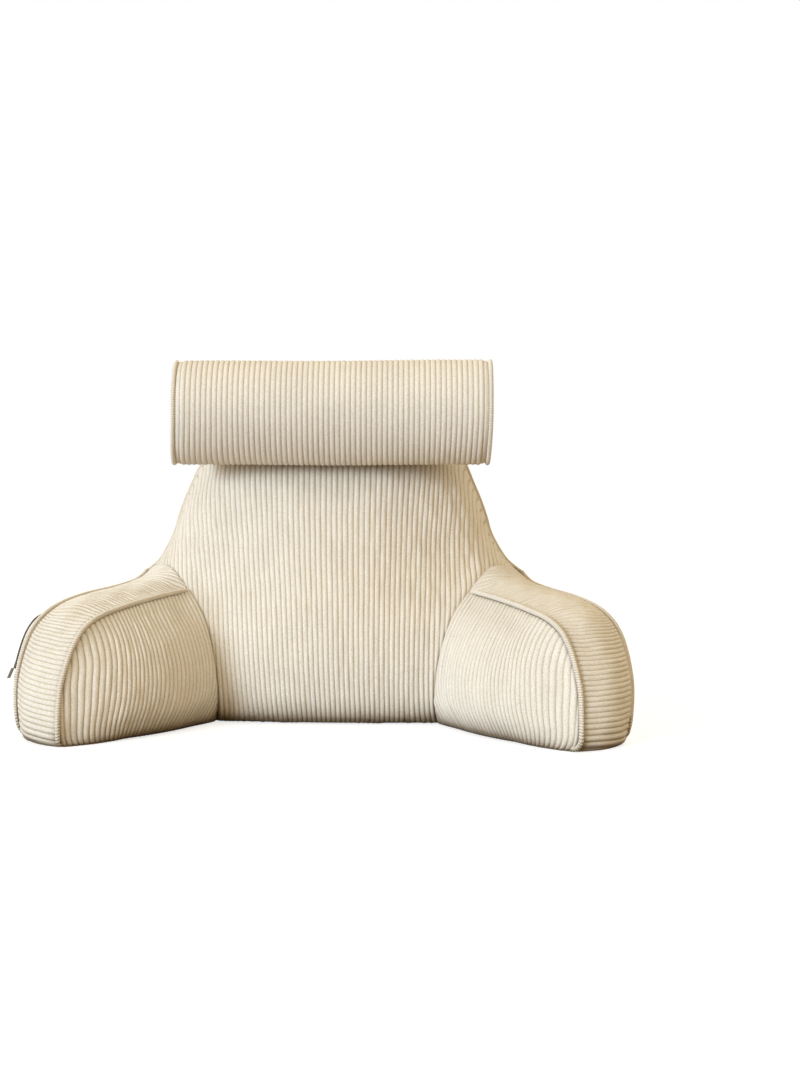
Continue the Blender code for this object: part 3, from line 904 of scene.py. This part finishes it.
def lapped(points, grid, u, v, asked):
    """Columns beyond the panel's start are turned in by the lap, into the back."""
    back = unit(sample(grid, u * 0.0, v) - sample(grid, u * 0.0 + 0.02, v))
    inward = unit(0.5 * back - front_normal(points))
    return np.where((asked < 0.0)[..., None], points + inward * LAP, points)


INNER_SEAM_DEPTHS = {-1.0: 0.0004, 1.0: PIPED_DEPTH}  # the left panel swells up to its cord


def build_inner(piece, swelling, side, seed):
    first, last, every = -9, 37, 12
    ribs = rib_columns(first, last)
    v = shares(41)
    rows = catmull(np.array(INNER_RIB_ROWS), v)
    wander = wobble(ribs[:, None] * RIB_PITCH, v[None] * 0.15, RIB_WANDER, 0.06, seed)
    at = (ribs[:, None] + wander + every) / (every * (rows.shape[1] - 1))
    asked = np.hstack([catmull(rows[j][:, None], at[:, j]) for j in range(len(v))])
    u, v = np.broadcast_arrays(np.clip(asked, 0.0, 1.0), v)
    points = lapped(sample(INNER_GRID, u, v), INNER_GRID, u, v, asked)
    normals = unit(sample(grid_normals(INNER_GRID, INNER_OUT), u, v))
    seams = (ARM_SEAMS[0]._replace(depth=INNER_SEAM_DEPTHS[side]), plain(CROTCH_LINE))
    corners = (INNER_TOES[side]._replace(reach=INNER_TOE_REACH), CROTCH)
    rib_sheet(piece, points, normals, ribs, seams, BROAD_FOOT, corners, swelling, seed)


def build_outer(piece, swelling, side, seed):
    count = int(0.40 / RIB_PITCH)
    ribs = rib_columns(0, count, COARSE_SAMPLES)
    u, v = np.meshgrid(ribs / count, shares(30), indexing="ij")
    points = sample(OUTER_GRID, u, v)
    normals = unit(sample(grid_normals(OUTER_GRID, OUTER_OUT), u, v))
    seams = (ARM_SEAMS[1], plain(REAR_LINE))
    rib_sheet(piece, points, normals, ribs, seams, PLAIN_FOOT, (REAR_FOOT, OUTER_TOES[side]), swelling, seed)


GUSSET_SKEWS = {-1.0: 0.8, 1.0: -0.6}  # how many ribs higher each lies at the outer piping
GUSSET_RIBS = 56.0  # and a part of one, so that they meet those of the back
GUSSET_PITCH = 0.0066  # on the strip's level front


def at_share(line, u):
    """Points of a line at u from 0 to 1."""
    return sample(line[:, None].repeat(2, 1), u, 0.0 * u)


def build_gusset(piece, swelling, side, seed):
    """Ribs across the strip, level on its front. Those of the back go on in them at the mitre."""
    w = shares(25)
    seam = at_share(CHEVRON_LINE, w)
    numbers = np.abs(rib_at(side * seam[:, 0], seam[:, 2]) - 0.5) + 0.5 * side
    numbers = np.maximum.accumulate(numbers)
    total = GUSSET_RIBS + numbers[0] % 1.0 + numbers - numbers[0]
    fine = shares(400)
    u_all, w_all = np.meshgrid(fine, w, indexing="ij")
    rise = sample(GUSSET_GRID, u_all, w_all)[..., 2]
    inner, outer = (at_share(line, u_all)[..., 2] for line in (INNER_LINE, OUTER_LINE))
    flat_rise = inner * (1 - w_all) + outer * w_all
    fall = np.abs(np.interp(fine, shares(len(GUSSET_RUN)), GUSSET_RUN[:, 2]))
    level = (fall / (fall**2 + 0.1) * smooth((fall - 0.1) / 0.4))[:, None]
    left = 1.0 - u_all
    numbered = total * (left - 0.087 * w_all * left * u_all)
    numbered = numbered + (rise - flat_rise) * level / GUSSET_PITCH
    numbered = numbered + GUSSET_SKEWS[side] * (0.5 - w_all) * smooth((u_all - 0.15) / 0.4)
    ribs = rib_columns(-1, int(math.ceil(total[-1])))
    columns, beyond = [], []
    for j in range(len(w)):
        asked = ribs + wobble(ribs * RIB_PITCH, w[j] * 0.10, RIB_WANDER, 0.06, seed + 9)
        columns.append(np.interp(-asked, -numbered[:, j], fine))
        beyond.append(np.where(asked > numbered[0, j], -1.0, 1.0))
    u, w = np.broadcast_arrays(np.stack(columns, 1), w)
    normals = unit(sample(grid_normals(GUSSET_GRID, GUSSET_GRID - ARM_CORE), u, w))
    points = lapped(sample(GUSSET_GRID, u, w), GUSSET_GRID, u, w, np.stack(beyond, 1))
    seams = (*ARM_SEAMS, plain(CHEVRON_LINE))
    corners = (INNER_TOES[side], OUTER_TOES[side])
    rib_sheet(piece, points, normals, ribs, seams, TOE_FOOT, corners, swelling, seed)


FLANGE_WIDTH, FLANGE_THICKNESS = 0.0100, 0.0026
REAR_FLANGE_WIDTH, REAR_FLANGE_THICKNESS = 0.0150, 0.0068
SEAM_EDGE_RADIUS = 0.0030


def ring(angle, one, other):
    """Rings of directions round a line, from two that cross it."""
    return np.cos(angle)[None, :, None] * one[:, None] + np.sin(angle)[None, :, None] * other[:, None]


def build_flange(piece, outside, inside, width=FLANGE_WIDTH, thickness=FLANGE_THICKNESS):
    """The edge of a piping's cloth, sewn in between two panels. It closes the seam."""
    inward = unit(inside - outside)
    across = unit(np.cross(heading(outside), inward))
    reach = lengths(outside)
    ends = smooth(np.minimum(reach, reach[-1] - reach) / 0.012)[:, None, None]
    centre = outside + inward * (0.3 * PIPING_RADIUS + 0.5 * width)
    points = centre[:, None] + 0.5 * ring(circle(11), inward * width, across * thickness) * ends
    piece.add(kept_above(points, FLOOR_GAP), np.full(points.shape, 0.75), True)


def build_mitre_seam(piece):
    """The sewn edge inside the seam between an arm and the back, coloured dark as a painted shadow line."""
    line = np.vstack([CROTCH_LINE[::4], CHEVRON_LINE[4::4]])
    line = line[line[:, 2] > 0.010]
    inside = unit((0.35, 0.75, -0.55))
    line = line + inside * SEAM_EDGE_RADIUS * 0.9
    side = unit(np.cross(heading(line), inside))
    points = line[:, None] + ring(circle(9), side, inside[None]) * SEAM_EDGE_RADIUS
    way = np.broadcast_to((CROTCH.out_x, CROTCH.out_y, 0.0), points.shape)
    points = settle(points, unit(way), BROAD_FOOT, (CROTCH,))
    # coloured as a groove: a painted shadow line along the seam
    piece.add(points, np.full(points.shape, 0.25), True)


def build_arm_base(piece, side):
    count = 40
    ribs = rib_columns(0, count, COARSE_SAMPLES)
    u = ribs / count
    inner, outer = sample(INNER_GRID, u, 0.0 * u), sample(OUTER_GRID, u, 0.0 * u)
    inner_way, outer_way = (np.broadcast_to(way, inner.shape) for way in (INNER_OUT, OUTER_OUT))
    inner = settle(inner, inner_way, BROAD_FOOT, (CROTCH, INNER_TOES[side]))
    outer = settle(outer, outer_way, PLAIN_FOOT, (REAR_FOOT, OUTER_TOES[side]))
    v = np.linspace(-0.02, 1.02, 9)[None, :, None]
    base_sheet(piece, inner[:, None] * (1 - v) + outer[:, None] * v, ribs)


# --- pipings ---
BEAD_ROWS, CORD_SIDES = 6, 10  # rings of points to a bead, and points to a ring


def piping(piece, line, closed=False, slant=0.30, taper=(0.0, 0.0), size=PIPING_RADIUS, pitch=BEAD_PITCH):
    """A cord whose cover is gathered into beads, darker between them as painted shade."""
    total = lengths(line)[-1]
    count = max(3, round(total / pitch)) * BEAD_ROWS + 1
    centre = even(line, count)
    run = heading(centre)
    if closed:
        run = unit(np.roll(centre[:-1], -1, 0) - np.roll(centre[:-1], 1, 0))
        run = np.vstack([run, run[:1]])
    side = np.zeros_like(run)
    side[0] = unit(np.cross(run[0], (0.0, 0.0, 1.0) if abs(run[0, 2]) < 0.9 else (0.0, 1.0, 0.0)))
    for i in range(1, count):
        side[i] = unit(side[i - 1] - run[i] * (side[i - 1] @ run[i]))
    angle = circle(CORD_SIDES + 1)
    number = np.arange(count)[:, None]
    form = np.abs(np.sin(math.pi * (number / BEAD_ROWS + slant * np.sin(angle)[None]))) ** 0.7
    along = number / (count - 1) * total
    ends = 1.0
    for distance, reach in zip((along, total - along), taper):
        if reach:
            ends = np.minimum(ends, 0.35 + 0.65 * smooth(distance / reach))
    radius = size * (0.68 + 0.38 * form) * ends
    points = centre[:, None] + ring(angle, side, np.cross(run, side)) * radius[..., None]
    # the colour follows the beads' form, darker between them as painted shade
    piece.add(points, stacked(along, angle * size, form))
    if closed:
        return
    for end, flip in ((0, True), (count - 1, False)):
        tip = centre[end] + run[end] * size * (0.4 if end else -0.4)
        rows = np.stack([points[end], np.repeat(tip[None], CORD_SIDES + 1, 0)], 1)
        piece.add(rows, np.full(rows.shape, 0.6), flip)


ZIP_LOW, ZIP_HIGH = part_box("zip_chain")
COIL_RADIUS = 0.0012
COIL_PITCH = 0.0019
COIL_HIDDEN = np.array((0.75, 0.30, -0.60))  # the way from the piping to the coil
COIL_SHOWN = np.array((0.93, 0.02, 0.30))  # and that way near the slider, where it is seen
COIL_SHOWS_AT = -0.112  # the y at which the one way starts to pass into the other
COIL_GAP = 0.0007
ZIP_DRAWN = np.array((0.0004, -0.0030, -0.0050))  # the slider is drawn further down
PULL_TWIST, PULL_TURN = 80.0, 6.0  # degrees


def build_zip(piece):
    """The coil, close along the outside of the left arm's outer piping."""
    before = OUTER_PIPING[:, 1] < ZIP_HIGH.y - SHIFT[1]
    above = OUTER_PIPING[:, 2] > ZIP_LOW.z - COIL_RADIUS + ZIP_DRAWN[2]
    line = even(OUTER_PIPING[before & above], 200)
    shown = smooth((COIL_SHOWS_AT - line[:, 1:2]) / 0.040)
    end = smooth((line[:, 2:] - ZIP_LOW.z) / 0.035)
    way = unit(COIL_HIDDEN * (1.0 - shown) + COIL_SHOWN * shown)
    line = line + way * (PIPING_RADIUS + COIL_RADIUS + COIL_GAP * shown * end)
    piping(piece, line, slant=0.5, size=COIL_RADIUS, pitch=COIL_PITCH)


def moved_copy(node_name, name, material, turned=False):
    """A copy of a small CAD solid, moved with the cloth beside it and with its edges rounded."""
    mesh = cad_mesh(node_name)
    corners = np.array([tuple(vert.co) for vert in mesh.vertices])
    middle = corners.mean(0)
    shift = stuffed(middle[None])[0] - middle + ZIP_DRAWN
    if turned:
        upper = corners[:, 2] > corners[:, 2].max() - 0.002
        pivot = Vector(corners[upper].mean(0))
        turn = Matrix.Rotation(math.radians(PULL_TURN), 4, "Y")
        turn = turn @ Matrix.Rotation(math.radians(PULL_TWIST), 4, Vector((0.0, 0.65, 0.76)))
        mesh.transform(Matrix.Translation(pivot) @ turn @ Matrix.Translation(-pivot))
    mesh.transform(Matrix.Translation(Vector(shift)))
    mesh.materials.clear()
    mesh.materials.append(material)
    item = new_item(name, mesh)
    give(item.modifiers.new("rounding", "BEVEL"), width=0.0008, segments=3)
    return item


def rear_seam_line(outward):
    """The right half of the back's rear edge, moved out of the seam."""
    corners = [(row.half_width, row.rear, row.height) for row in BACK_ROWS[8:]]
    corners += [(TOP_ROW.half_width * share, TOP_ROW.rear, BACK_TOP) for share in (0.5, 0.0)]
    corners = np.array(corners)
    sideways = unit(np.cross(heading(corners), (0.0, -1.0, 0.0)))
    return corners + unit(sideways + (0.0, 0.8, 0.0)) * outward


def settled_line(line, out, spot):
    """A piping's line moved as the walls beside it are, and kept off the floor."""
    return kept_above(settle(line, np.broadcast_to(out, line.shape), TOE_FOOT, (spot,)), CORD_REST)


CORD_REST = PIPING_RADIUS + FLOOR_GAP  # the height of a cord's middle where it lies on the floor
CURLS = {-1.0: 0.003, 1.0: 0.012}  # the radius in which each inner piping ends along the floor
CORD_TAILS = {-1.0: 0.002, 1.0: 0.009}


def inner_piping_line(side):
    """The right one curls inward over the floor, and the left one ends almost straight."""
    radius = CURLS[side]
    line = INNER_PIPING[INNER_PIPING[:, 2] > CORD_REST + radius]
    start = line[-1]
    turn = np.linspace(0.0, math.pi / 2.0, 7)[1:, None]
    curl = start + INWARD * radius * (1.0 - np.cos(turn))
    curl[:, 2:] = CORD_REST + (start[2] - CORD_REST) * (1.0 - np.sin(turn))
    tail = curl[-1:] + INWARD * CORD_TAILS[side]
    line = catmull(np.vstack([even(line, 80), curl, tail]), shares(900))
    line[:, 2] -= 0.0022 * (1.0 - smooth(lengths(line) / 0.018))
    return line


TOP_TUCK = 0.0018  # along the arms' tops the cord lies half behind the strip
OUTLINE_TUCK = {-1.0: 0.0, 1.0: 0.0026}  # the right side's cord lies deeper in its seam


def outline():
    halves = []
    for side in (1.0, -1.0):
        outer = OUTER_PIPING.copy()
        outer[0] = REAR_CORNER + unit((0.45, 0.45, 0.77)) * EDGE_TO_PIPING
        outer = settled_line(outer, OUTER_OUT, OUTER_TOES[side])
        tuck = OUTLINE_TUCK[side] * smooth(lengths(outer) / 0.05)[:, None]
        outer = outer + tuck * (-0.5, 0.85, -0.15)
        level = smooth(lengths(outer) / 0.03) * smooth((outer[:, 2] - 0.135) / 0.03)
        outer[:, 2] -= TOP_TUCK * level
        half = np.vstack([outer[:5:-6], outer[2], outer[0], rear_seam_line(EDGE_TO_PIPING)])
        halves.append(half * (side, 1.0, 1.0))
    return catmull(np.vstack([halves[0], halves[1][:-1][::-1]]), shares(3000))


# --- the neck roll ---
ROLL_LOW, ROLL_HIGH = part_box("neck_roll")
ROLL_RADIUS = (ROLL_HIGH.z - ROLL_LOW.z) / 2.0
ROLL_LIFT = (0.0, 0.0, 0.0012)
ROLL_CENTRE = np.array((ROLL_LOW + ROLL_HIGH) / 2.0) - SHIFT + ROLL_LIFT
ROLL_HALF = (ROLL_HIGH.x - ROLL_LOW.x) / 2.0 - 0.0075
ROLL_END_BULGES = {-1: 0.0105, 1: 0.0080}
ROLL_RIBS = 59
ROLL_GROWTH = {-1: 1.020, 1: 1.009}  # each half is this much longer than in the solid
ROLL_SKEW = 0.041  # each end's front is drawn in by this share of its depth
ROLL_SKEW_TURN = -0.029  # and the whole roll leans by this share
ROLL_DRAWN_IN = 0.0030  # at each end seam
ROLL_SAG, ROLL_SLACK = 0.0012, 0.0009
ROLL_CORD_IN, ROLL_CORD_OUT = 0.0030, 0.0019  # from the roll's radius, and from its end
END_RADIUS = ROLL_RADIUS - 0.0052
END_RIB_PITCH = 0.0062


def roll_place(points):
    """Local (x, y, z) of the roll, drawn together a little towards the front."""
    x, y = points[..., 0], points[..., 1]
    x = x * np.where(x < 0.0, ROLL_GROWTH[-1], ROLL_GROWTH[1])
    moved = points.copy()
    moved[..., 0] = x + y * (ROLL_SKEW * x / ROLL_HALF + ROLL_SKEW_TURN)
    return moved + ROLL_CENTRE


def build_roll(piece):
    ribs = rib_columns(0, ROLL_RIBS)
    x = ((ribs / ROLL_RIBS * 2.0 - 1.0) * ROLL_HALF)[:, None]
    turn = circle(97)[None]
    angle = -turn - math.pi / 2.0
    radius = ROLL_RADIUS - 0.001 - ROLL_DRAWN_IN * (1.0 - smooth((ROLL_HALF - np.abs(x)) / 0.012)) ** 1.6
    number = np.floor(ribs)[:, None]
    uneven = 0.10 * np.sin(number * 2.4 + 2.0 * angle) + 0.05 * np.sin(number + 5.0 * angle)
    form = rib_form(ribs) * (1.0 + uneven)
    soft = ROLL_SLACK * np.sin(3.0 * angle + 14.0 * x) * np.sin(np.pi * (ribs[:, None] / ROLL_RIBS))
    sag = ROLL_SAG * np.sin(angle) ** 2
    reach = radius + form * RIB_HEIGHT * 0.9 + soft - sag + 0.0006
    points = stacked(x, reach * np.cos(angle), reach * np.sin(angle))
    looks = stacked(ribs[:, None] * RIB_PITCH, turn * ROLL_RADIUS, np.clip(form, 0, 1))
    points, looks = (np.pad(grid, ((1, 1), (0, 0), (0, 0)), mode="edge") for grid in (points, looks))
    points[[0, -1], :, 1:] *= 1.0 - SKIRT / ROLL_RADIUS
    piece.add(roll_place(points), looks, True)
    for side in (-1, 1):
        build_roll_end(piece, side)


def build_roll_end(piece, side):
    """A round end panel whose ribs run level, bulging outward."""
    last = int(END_RADIUS / END_RIB_PITCH) + 1
    ribs = rib_columns(-last, last)
    ribs = ribs[np.abs(ribs * END_RIB_PITCH) < END_RADIUS - 0.0003]
    z = (ribs * END_RIB_PITCH)[:, None]
    y = np.sqrt(END_RADIUS**2 - z**2) * np.linspace(-1.0, 1.0, 29)[None]
    r = np.hypot(y, z) / END_RADIUS
    # fading the ribs at the rim darkens the colour there too: painted shade along the end seam
    form = rib_form(ribs) * smooth((1.0 - r) / 0.06)
    bulge = (ROLL_END_BULGES[side] - 0.0015) * (1.0 - r**2.6) + form * RIB_HEIGHT * 0.7
    points = stacked(side * (ROLL_HALF - 0.0008 + bulge), y, z)
    looks = stacked(ribs[:, None] * RIB_PITCH, y + END_RADIUS, form)
    piece.add(roll_place(points), looks, side > 0)


def roll_ring(side):
    angle = circle(181)
    radius = ROLL_RADIUS - ROLL_CORD_IN
    x = side * (ROLL_HALF + ROLL_CORD_OUT)
    return roll_place(stacked(x, radius * np.cos(angle), radius * np.sin(angle)))


# --- materials ---
def new_material(name):
    material = bpy.data.materials.new(name)
    material.use_nodes = True
    tree = material.node_tree
    tree.nodes.clear()
    shader = node(tree, "BsdfPrincipled")
    node(tree, "OutputMaterial", {0: shader.outputs[0]})
    return material, tree, shader


def follow(tree, item, inputs):
    """Gives each input a value, or the output of another node to follow."""
    for key, value in inputs.items():
        if isinstance(value, bpy.types.NodeSocket):
            tree.links.new(value, item.inputs[key])
        else:
            item.inputs[key].default_value = value


def node(tree, kind, inputs=(), **settings):
    item = give(tree.nodes.new("ShaderNode" + kind), **settings)
    follow(tree, item, dict(inputs))
    return item


def noise(tree, vector, scale, detail, roughness=0.5):
    inputs = {"Vector": vector, "Scale": scale, "Detail": detail, "Roughness": roughness}
    return node(tree, "TexNoise", inputs).outputs["Fac"]


def ranged(tree, value, given, wanted):
    """A value spread from the given range over the wanted one."""
    names = ("From Min", "From Max", "To Min", "To Max")
    return node(tree, "MapRange", {"Value": value, **dict(zip(names, (*given, *wanted)))}).outputs[0]


def ramp(tree, value, *stops):
    """A colour for each value, from stops of a position and a colour."""
    item = node(tree, "ValToRGB", {0: value})
    stones = item.color_ramp.elements
    for index, (position, colour) in enumerate(stops):
        stone = stones[index] if index < 2 else stones.new(position)
        stone.position = position
        stone.color = (*colour, 1.0)
    return item.outputs["Color"]


WHITE = (1.0, 1.0, 1.0)
NOISE_RANGE = (0.3, 0.7)  # where most values of a noise lie
PAINTED_NOOK_SHADE = (0.28, 0.21, 0.135)  # painted shade: the pile's colour darkened where little light gets in
NOOK_SHADE_REACH = 0.045


def painted_nook_shade(tree, place):
    """Painted shade: darker where other cloth is near, most of all near the floor."""
    nearby = node(tree, "AmbientOcclusion", {"Distance": NOOK_SHADE_REACH}, samples=6)
    occluded_shade = ramp(tree, nearby.outputs["AO"], (0.20, PAINTED_NOOK_SHADE), (0.74, WHITE))
    height = node(tree, "SeparateXYZ", {0: place}).outputs["Z"]
    share = ranged(tree, height, (0.010, 0.060), (1.0, 0.3))
    inputs = {"Factor": share, "A": (*WHITE, 1.0), "B": occluded_shade}
    return node(tree, "Mix", inputs, data_type="RGBA").outputs["Result"]


def plush(name, light, middle, dark, grain):
    """Ribbed plush: darker in the grooves as painted shade, with short pile that catches the light."""
    material, tree, shader = new_material(name)
    cloth = node(tree, "Attribute", attribute_name="cloth").outputs["Vector"]
    form = node(tree, "SeparateXYZ", {0: cloth}).outputs[2]
    # painted shade: the colour is dark in the grooves and light on the ribs' tops
    groove = ramp(tree, form, (0.02, dark), (0.95, light), (0.45, middle))
    place = node(tree, "TexCoord").outputs["Object"]
    pile = noise(tree, place, 560.0, 3.0, 0.7)
    speck = ranged(tree, pile, NOISE_RANGE, (1.0 - 0.20 * grain, 1.0 + 0.09 * grain))
    drift = ranged(tree, noise(tree, place, 20.0, 2.0), NOISE_RANGE, (0.965, 1.02))
    both = node(tree, "Math", {0: speck, 1: drift}, operation="MULTIPLY").outputs[0]
    shade = node(tree, "VectorMath", {0: groove, "Scale": both}, operation="SCALE").outputs[0]
    # painted shade of the nooks and of the cloth near the floor is multiplied into the colour
    darker = node(tree, "VectorMath", {0: shade, 1: painted_nook_shade(tree, place)}, operation="MULTIPLY")
    relief = node(tree, "Bump", {"Strength": 0.7, "Distance": 0.0012, "Height": pile})
    looks = {
        "Base Color": darker.outputs[0],
        "Normal": relief.outputs[0],
        "Roughness": 0.95,
        "Specular IOR Level": 0.12,
        "Sheen Weight": 0.16,
        "Sheen Roughness": 0.5,
        "Sheen Tint": (1.0, 0.93, 0.80, 1.0),
    }
    follow(tree, shader, looks)
    return material


def zip_material(name, colour, roughness, metallic):
    material, tree, shader = new_material(name)
    place = node(tree, "TexCoord").outputs["Object"]
    dark, light = ([c * share for c in colour] for share in (0.7, 1.4))
    shade = ramp(tree, noise(tree, place, 240.0, 2.0), (0.0, dark), (1.0, light))
    follow(tree, shader, {"Base Color": shade, "Roughness": roughness, "Metallic": metallic})
    return material


# --- putting it together ---
def declare(made, replaced):
    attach(made, "root")
    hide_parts(replaced)


def add_cord(name, replaced, material, line, side=1.0, **form):
    cord = Piece(name)
    piping(cord, line, **form)
    declare(cord.make(material, side), replaced)


def add_back(cover):
    swelling = Swelling("back", np.vstack([REAR_SEAM, MITRE_LINE, MITRE_REAR_LINE]))
    piece = Piece("back_cover")
    build_front(piece, swelling)
    build_rear(piece, swelling)
    build_back_base(piece)
    halves = (rear_seam_line(EDGE_TO_PIPING), rear_seam_line(0.0))
    outside, inside = (even(np.vstack([half, mirrored(half)[-2::-1]]), 601) for half in halves)
    build_flange(piece, outside, inside, REAR_FLANGE_WIDTH, REAR_FLANGE_THICKNESS)
    declare(piece.make(cover), "back")


def add_arm(word, side, seed, swelling, cover):
    piece = Piece("arm_cover_" + word)
    build_inner(piece, swelling, side, seed)
    build_outer(piece, swelling, side, seed + 1)
    build_gusset(piece, swelling, side, seed + 2)
    build_arm_base(piece, side)
    build_mitre_seam(piece)
    for outside, inside in ((INNER_PIPING, INNER_LINE), (OUTER_PIPING, OUTER_LINE)):
        sewn = (outside[:, 2] > 0.018) & (np.arange(len(outside)) > EDGE_COUNT // 10)
        build_flange(piece, outside[sewn], inside[sewn])
    declare(piece.make(cover, side), "arm_" + word)


def add_zip():
    coil = zip_material("zip_coil_look", (0.085, 0.086, 0.080), 0.6, 0.0)
    metal = zip_material("zip_metal_look", (0.16, 0.16, 0.14), 0.45, 0.3)
    piece = Piece("zip_teeth_coil")
    build_zip(piece)
    declare(piece.make(coil, -1.0), "zip_chain")
    declare(moved_copy("zip_slider", "zip_slider_body", metal), "zip_slider")
    declare(moved_copy("zip_pull", "zip_pull_tab", metal, turned=True), "zip_pull")


def main():
    # the third colour of each is painted shade: in the cover's grooves, and between the cord's beads
    cover = plush("ribbed_plush_look", (0.86, 0.805, 0.735), (0.81, 0.745, 0.655), (0.60, 0.515, 0.395), 1.0)
    cord = plush("piping_look", (0.87, 0.81, 0.73), (0.74, 0.66, 0.55), (0.30, 0.25, 0.18), 0.7)
    add_back(cover)
    seams = np.vstack([INNER_LINE, OUTER_LINE, CROTCH_LINE, CHEVRON_LINE, REAR_LINE])
    swelling = Swelling("arm_right", seams)
    for word, side, seed in (("left", -1.0, 40), ("right", 1.0, 60)):
        add_arm(word, side, seed, swelling, cover)
        line = inner_piping_line(side)
        add_cord("arm_cord_" + word, "arm_piping_" + word, cord, line, side, taper=(0.012, 0.010))
        add_cord("roll_cord_" + word, "roll_piping_" + word, cord, roll_ring(side), closed=True)
    roll = Piece("neck_roll_cover")
    build_roll(roll)
    declare(roll.make(cover), "neck_roll")
    add_cord("outline_cord", "outline_piping", cord, outline(), taper=(0.008, 0.008))
    add_zip()


# --- floor, light and camera ---
FLOOR_BOUNCE = (0.25, 0.175, 0.085)
AMBIENT = (0.795, 0.685, 0.485)
KEY = (0.72, 0.85, 0.985)
KEY_POWER = 2.76
WARM = (1.0, 0.78, 0.50)
RIM = (1.0, 0.88, 0.70)
TARGET = SHIFT + (0.0, 0.0, 0.2112 + LIFT)
AZIMUTH, ELEVATION, DISTANCE = 3.08, 3.46, 2.018


def seen_or_not(tree, seen, unseen):
    """What the camera sees itself, and what all other rays meet."""
    rays = node(tree, "LightPath").outputs["Is Camera Ray"]
    return node(tree, "MixShader", {0: rays, 1: unseen.outputs[0], 2: seen.outputs[0]}).outputs[0]


def floor_material():
    """Pale to look at, but giving back little light, as the table in the studio does."""
    material, tree, shader = new_material("floor_look")
    follow(tree, shader, {"Base Color": (*FLOOR_BOUNCE, 1.0), "Roughness": 0.9})
    pale = node(tree, "BsdfDiffuse", {"Color": (0.52, 0.53, 0.58, 1.0)})
    glow = node(tree, "Emission", {"Strength": 0.70})
    both = node(tree, "AddShader", {0: pale.outputs[0], 1: glow.outputs[0]})
    follow(tree, tree.nodes["Material Output"], {0: seen_or_not(tree, both, shader)})
    return material


def stage():
    mesh = bpy.data.meshes.new("floor")
    size = 30.0
    corners = [(-size, -size, 0), (size, -size, 0), (size, size, 0), (-size, size, 0)]
    mesh.from_pydata(corners, [], [(0, 1, 2, 3)])
    mesh.materials.append(floor_material())
    floor = new_item("floor", mesh)


def outward(azimuth, elevation):
    """A direction from its degrees to the right of the front and above the floor."""
    turn, rise = math.radians(azimuth), math.radians(elevation)
    level = math.cos(rise)
    return np.array((math.sin(turn) * level, -math.cos(turn) * level, math.sin(rise)))


def look_along(item, way):
    item.rotation_euler = Vector(way).to_track_quat("-Z", "Y").to_euler()


def far_lamp(name, azimuth, elevation, power, colour, softness):
    """A distant lamp that shines from this direction; its softness is in degrees."""
    data = bpy.data.lights.new(name, "SUN")
    give(data, energy=power, color=colour, angle=math.radians(softness))
    look_along(new_item(name, data), -outward(azimuth, elevation))


def light():
    scene = bpy.context.scene
    scene.view_settings.view_transform = "Standard"
    scene.world = bpy.data.worlds.new("studio")
    scene.world.use_nodes = True
    tree = scene.world.node_tree
    ambient = tree.nodes["Background"]
    follow(tree, ambient, {"Color": (*AMBIENT, 1.0), "Strength": 1.0})
    white = node(tree, "Background", {"Color": (*WHITE, 1.0)})
    follow(tree, tree.nodes["World Output"], {0: seen_or_not(tree, white, ambient)})
    far_lamp("key", -45.0, 10.0, KEY_POWER, KEY, 20.0)
    far_lamp("fill", 80.0, 15.0, 0.22, WARM, 30.0)
    far_lamp("rim", 150.0, 35.0, 0.4, RIM, 20.0)


def camera():
    """The photograph's viewpoint: slightly above, a little to the right, about 2 m away."""
    away = outward(AZIMUTH, ELEVATION)
    data = bpy.data.cameras.new("camera")
    item = new_item("camera", give(data, sensor_width=36.0, lens=50.67, shift_x=0.0652, shift_y=0.0163))
    item.location = Vector(TARGET + away * DISTANCE)
    look_along(item, -away)
    bpy.context.scene.camera = item


camera()
main()
stage()
light()
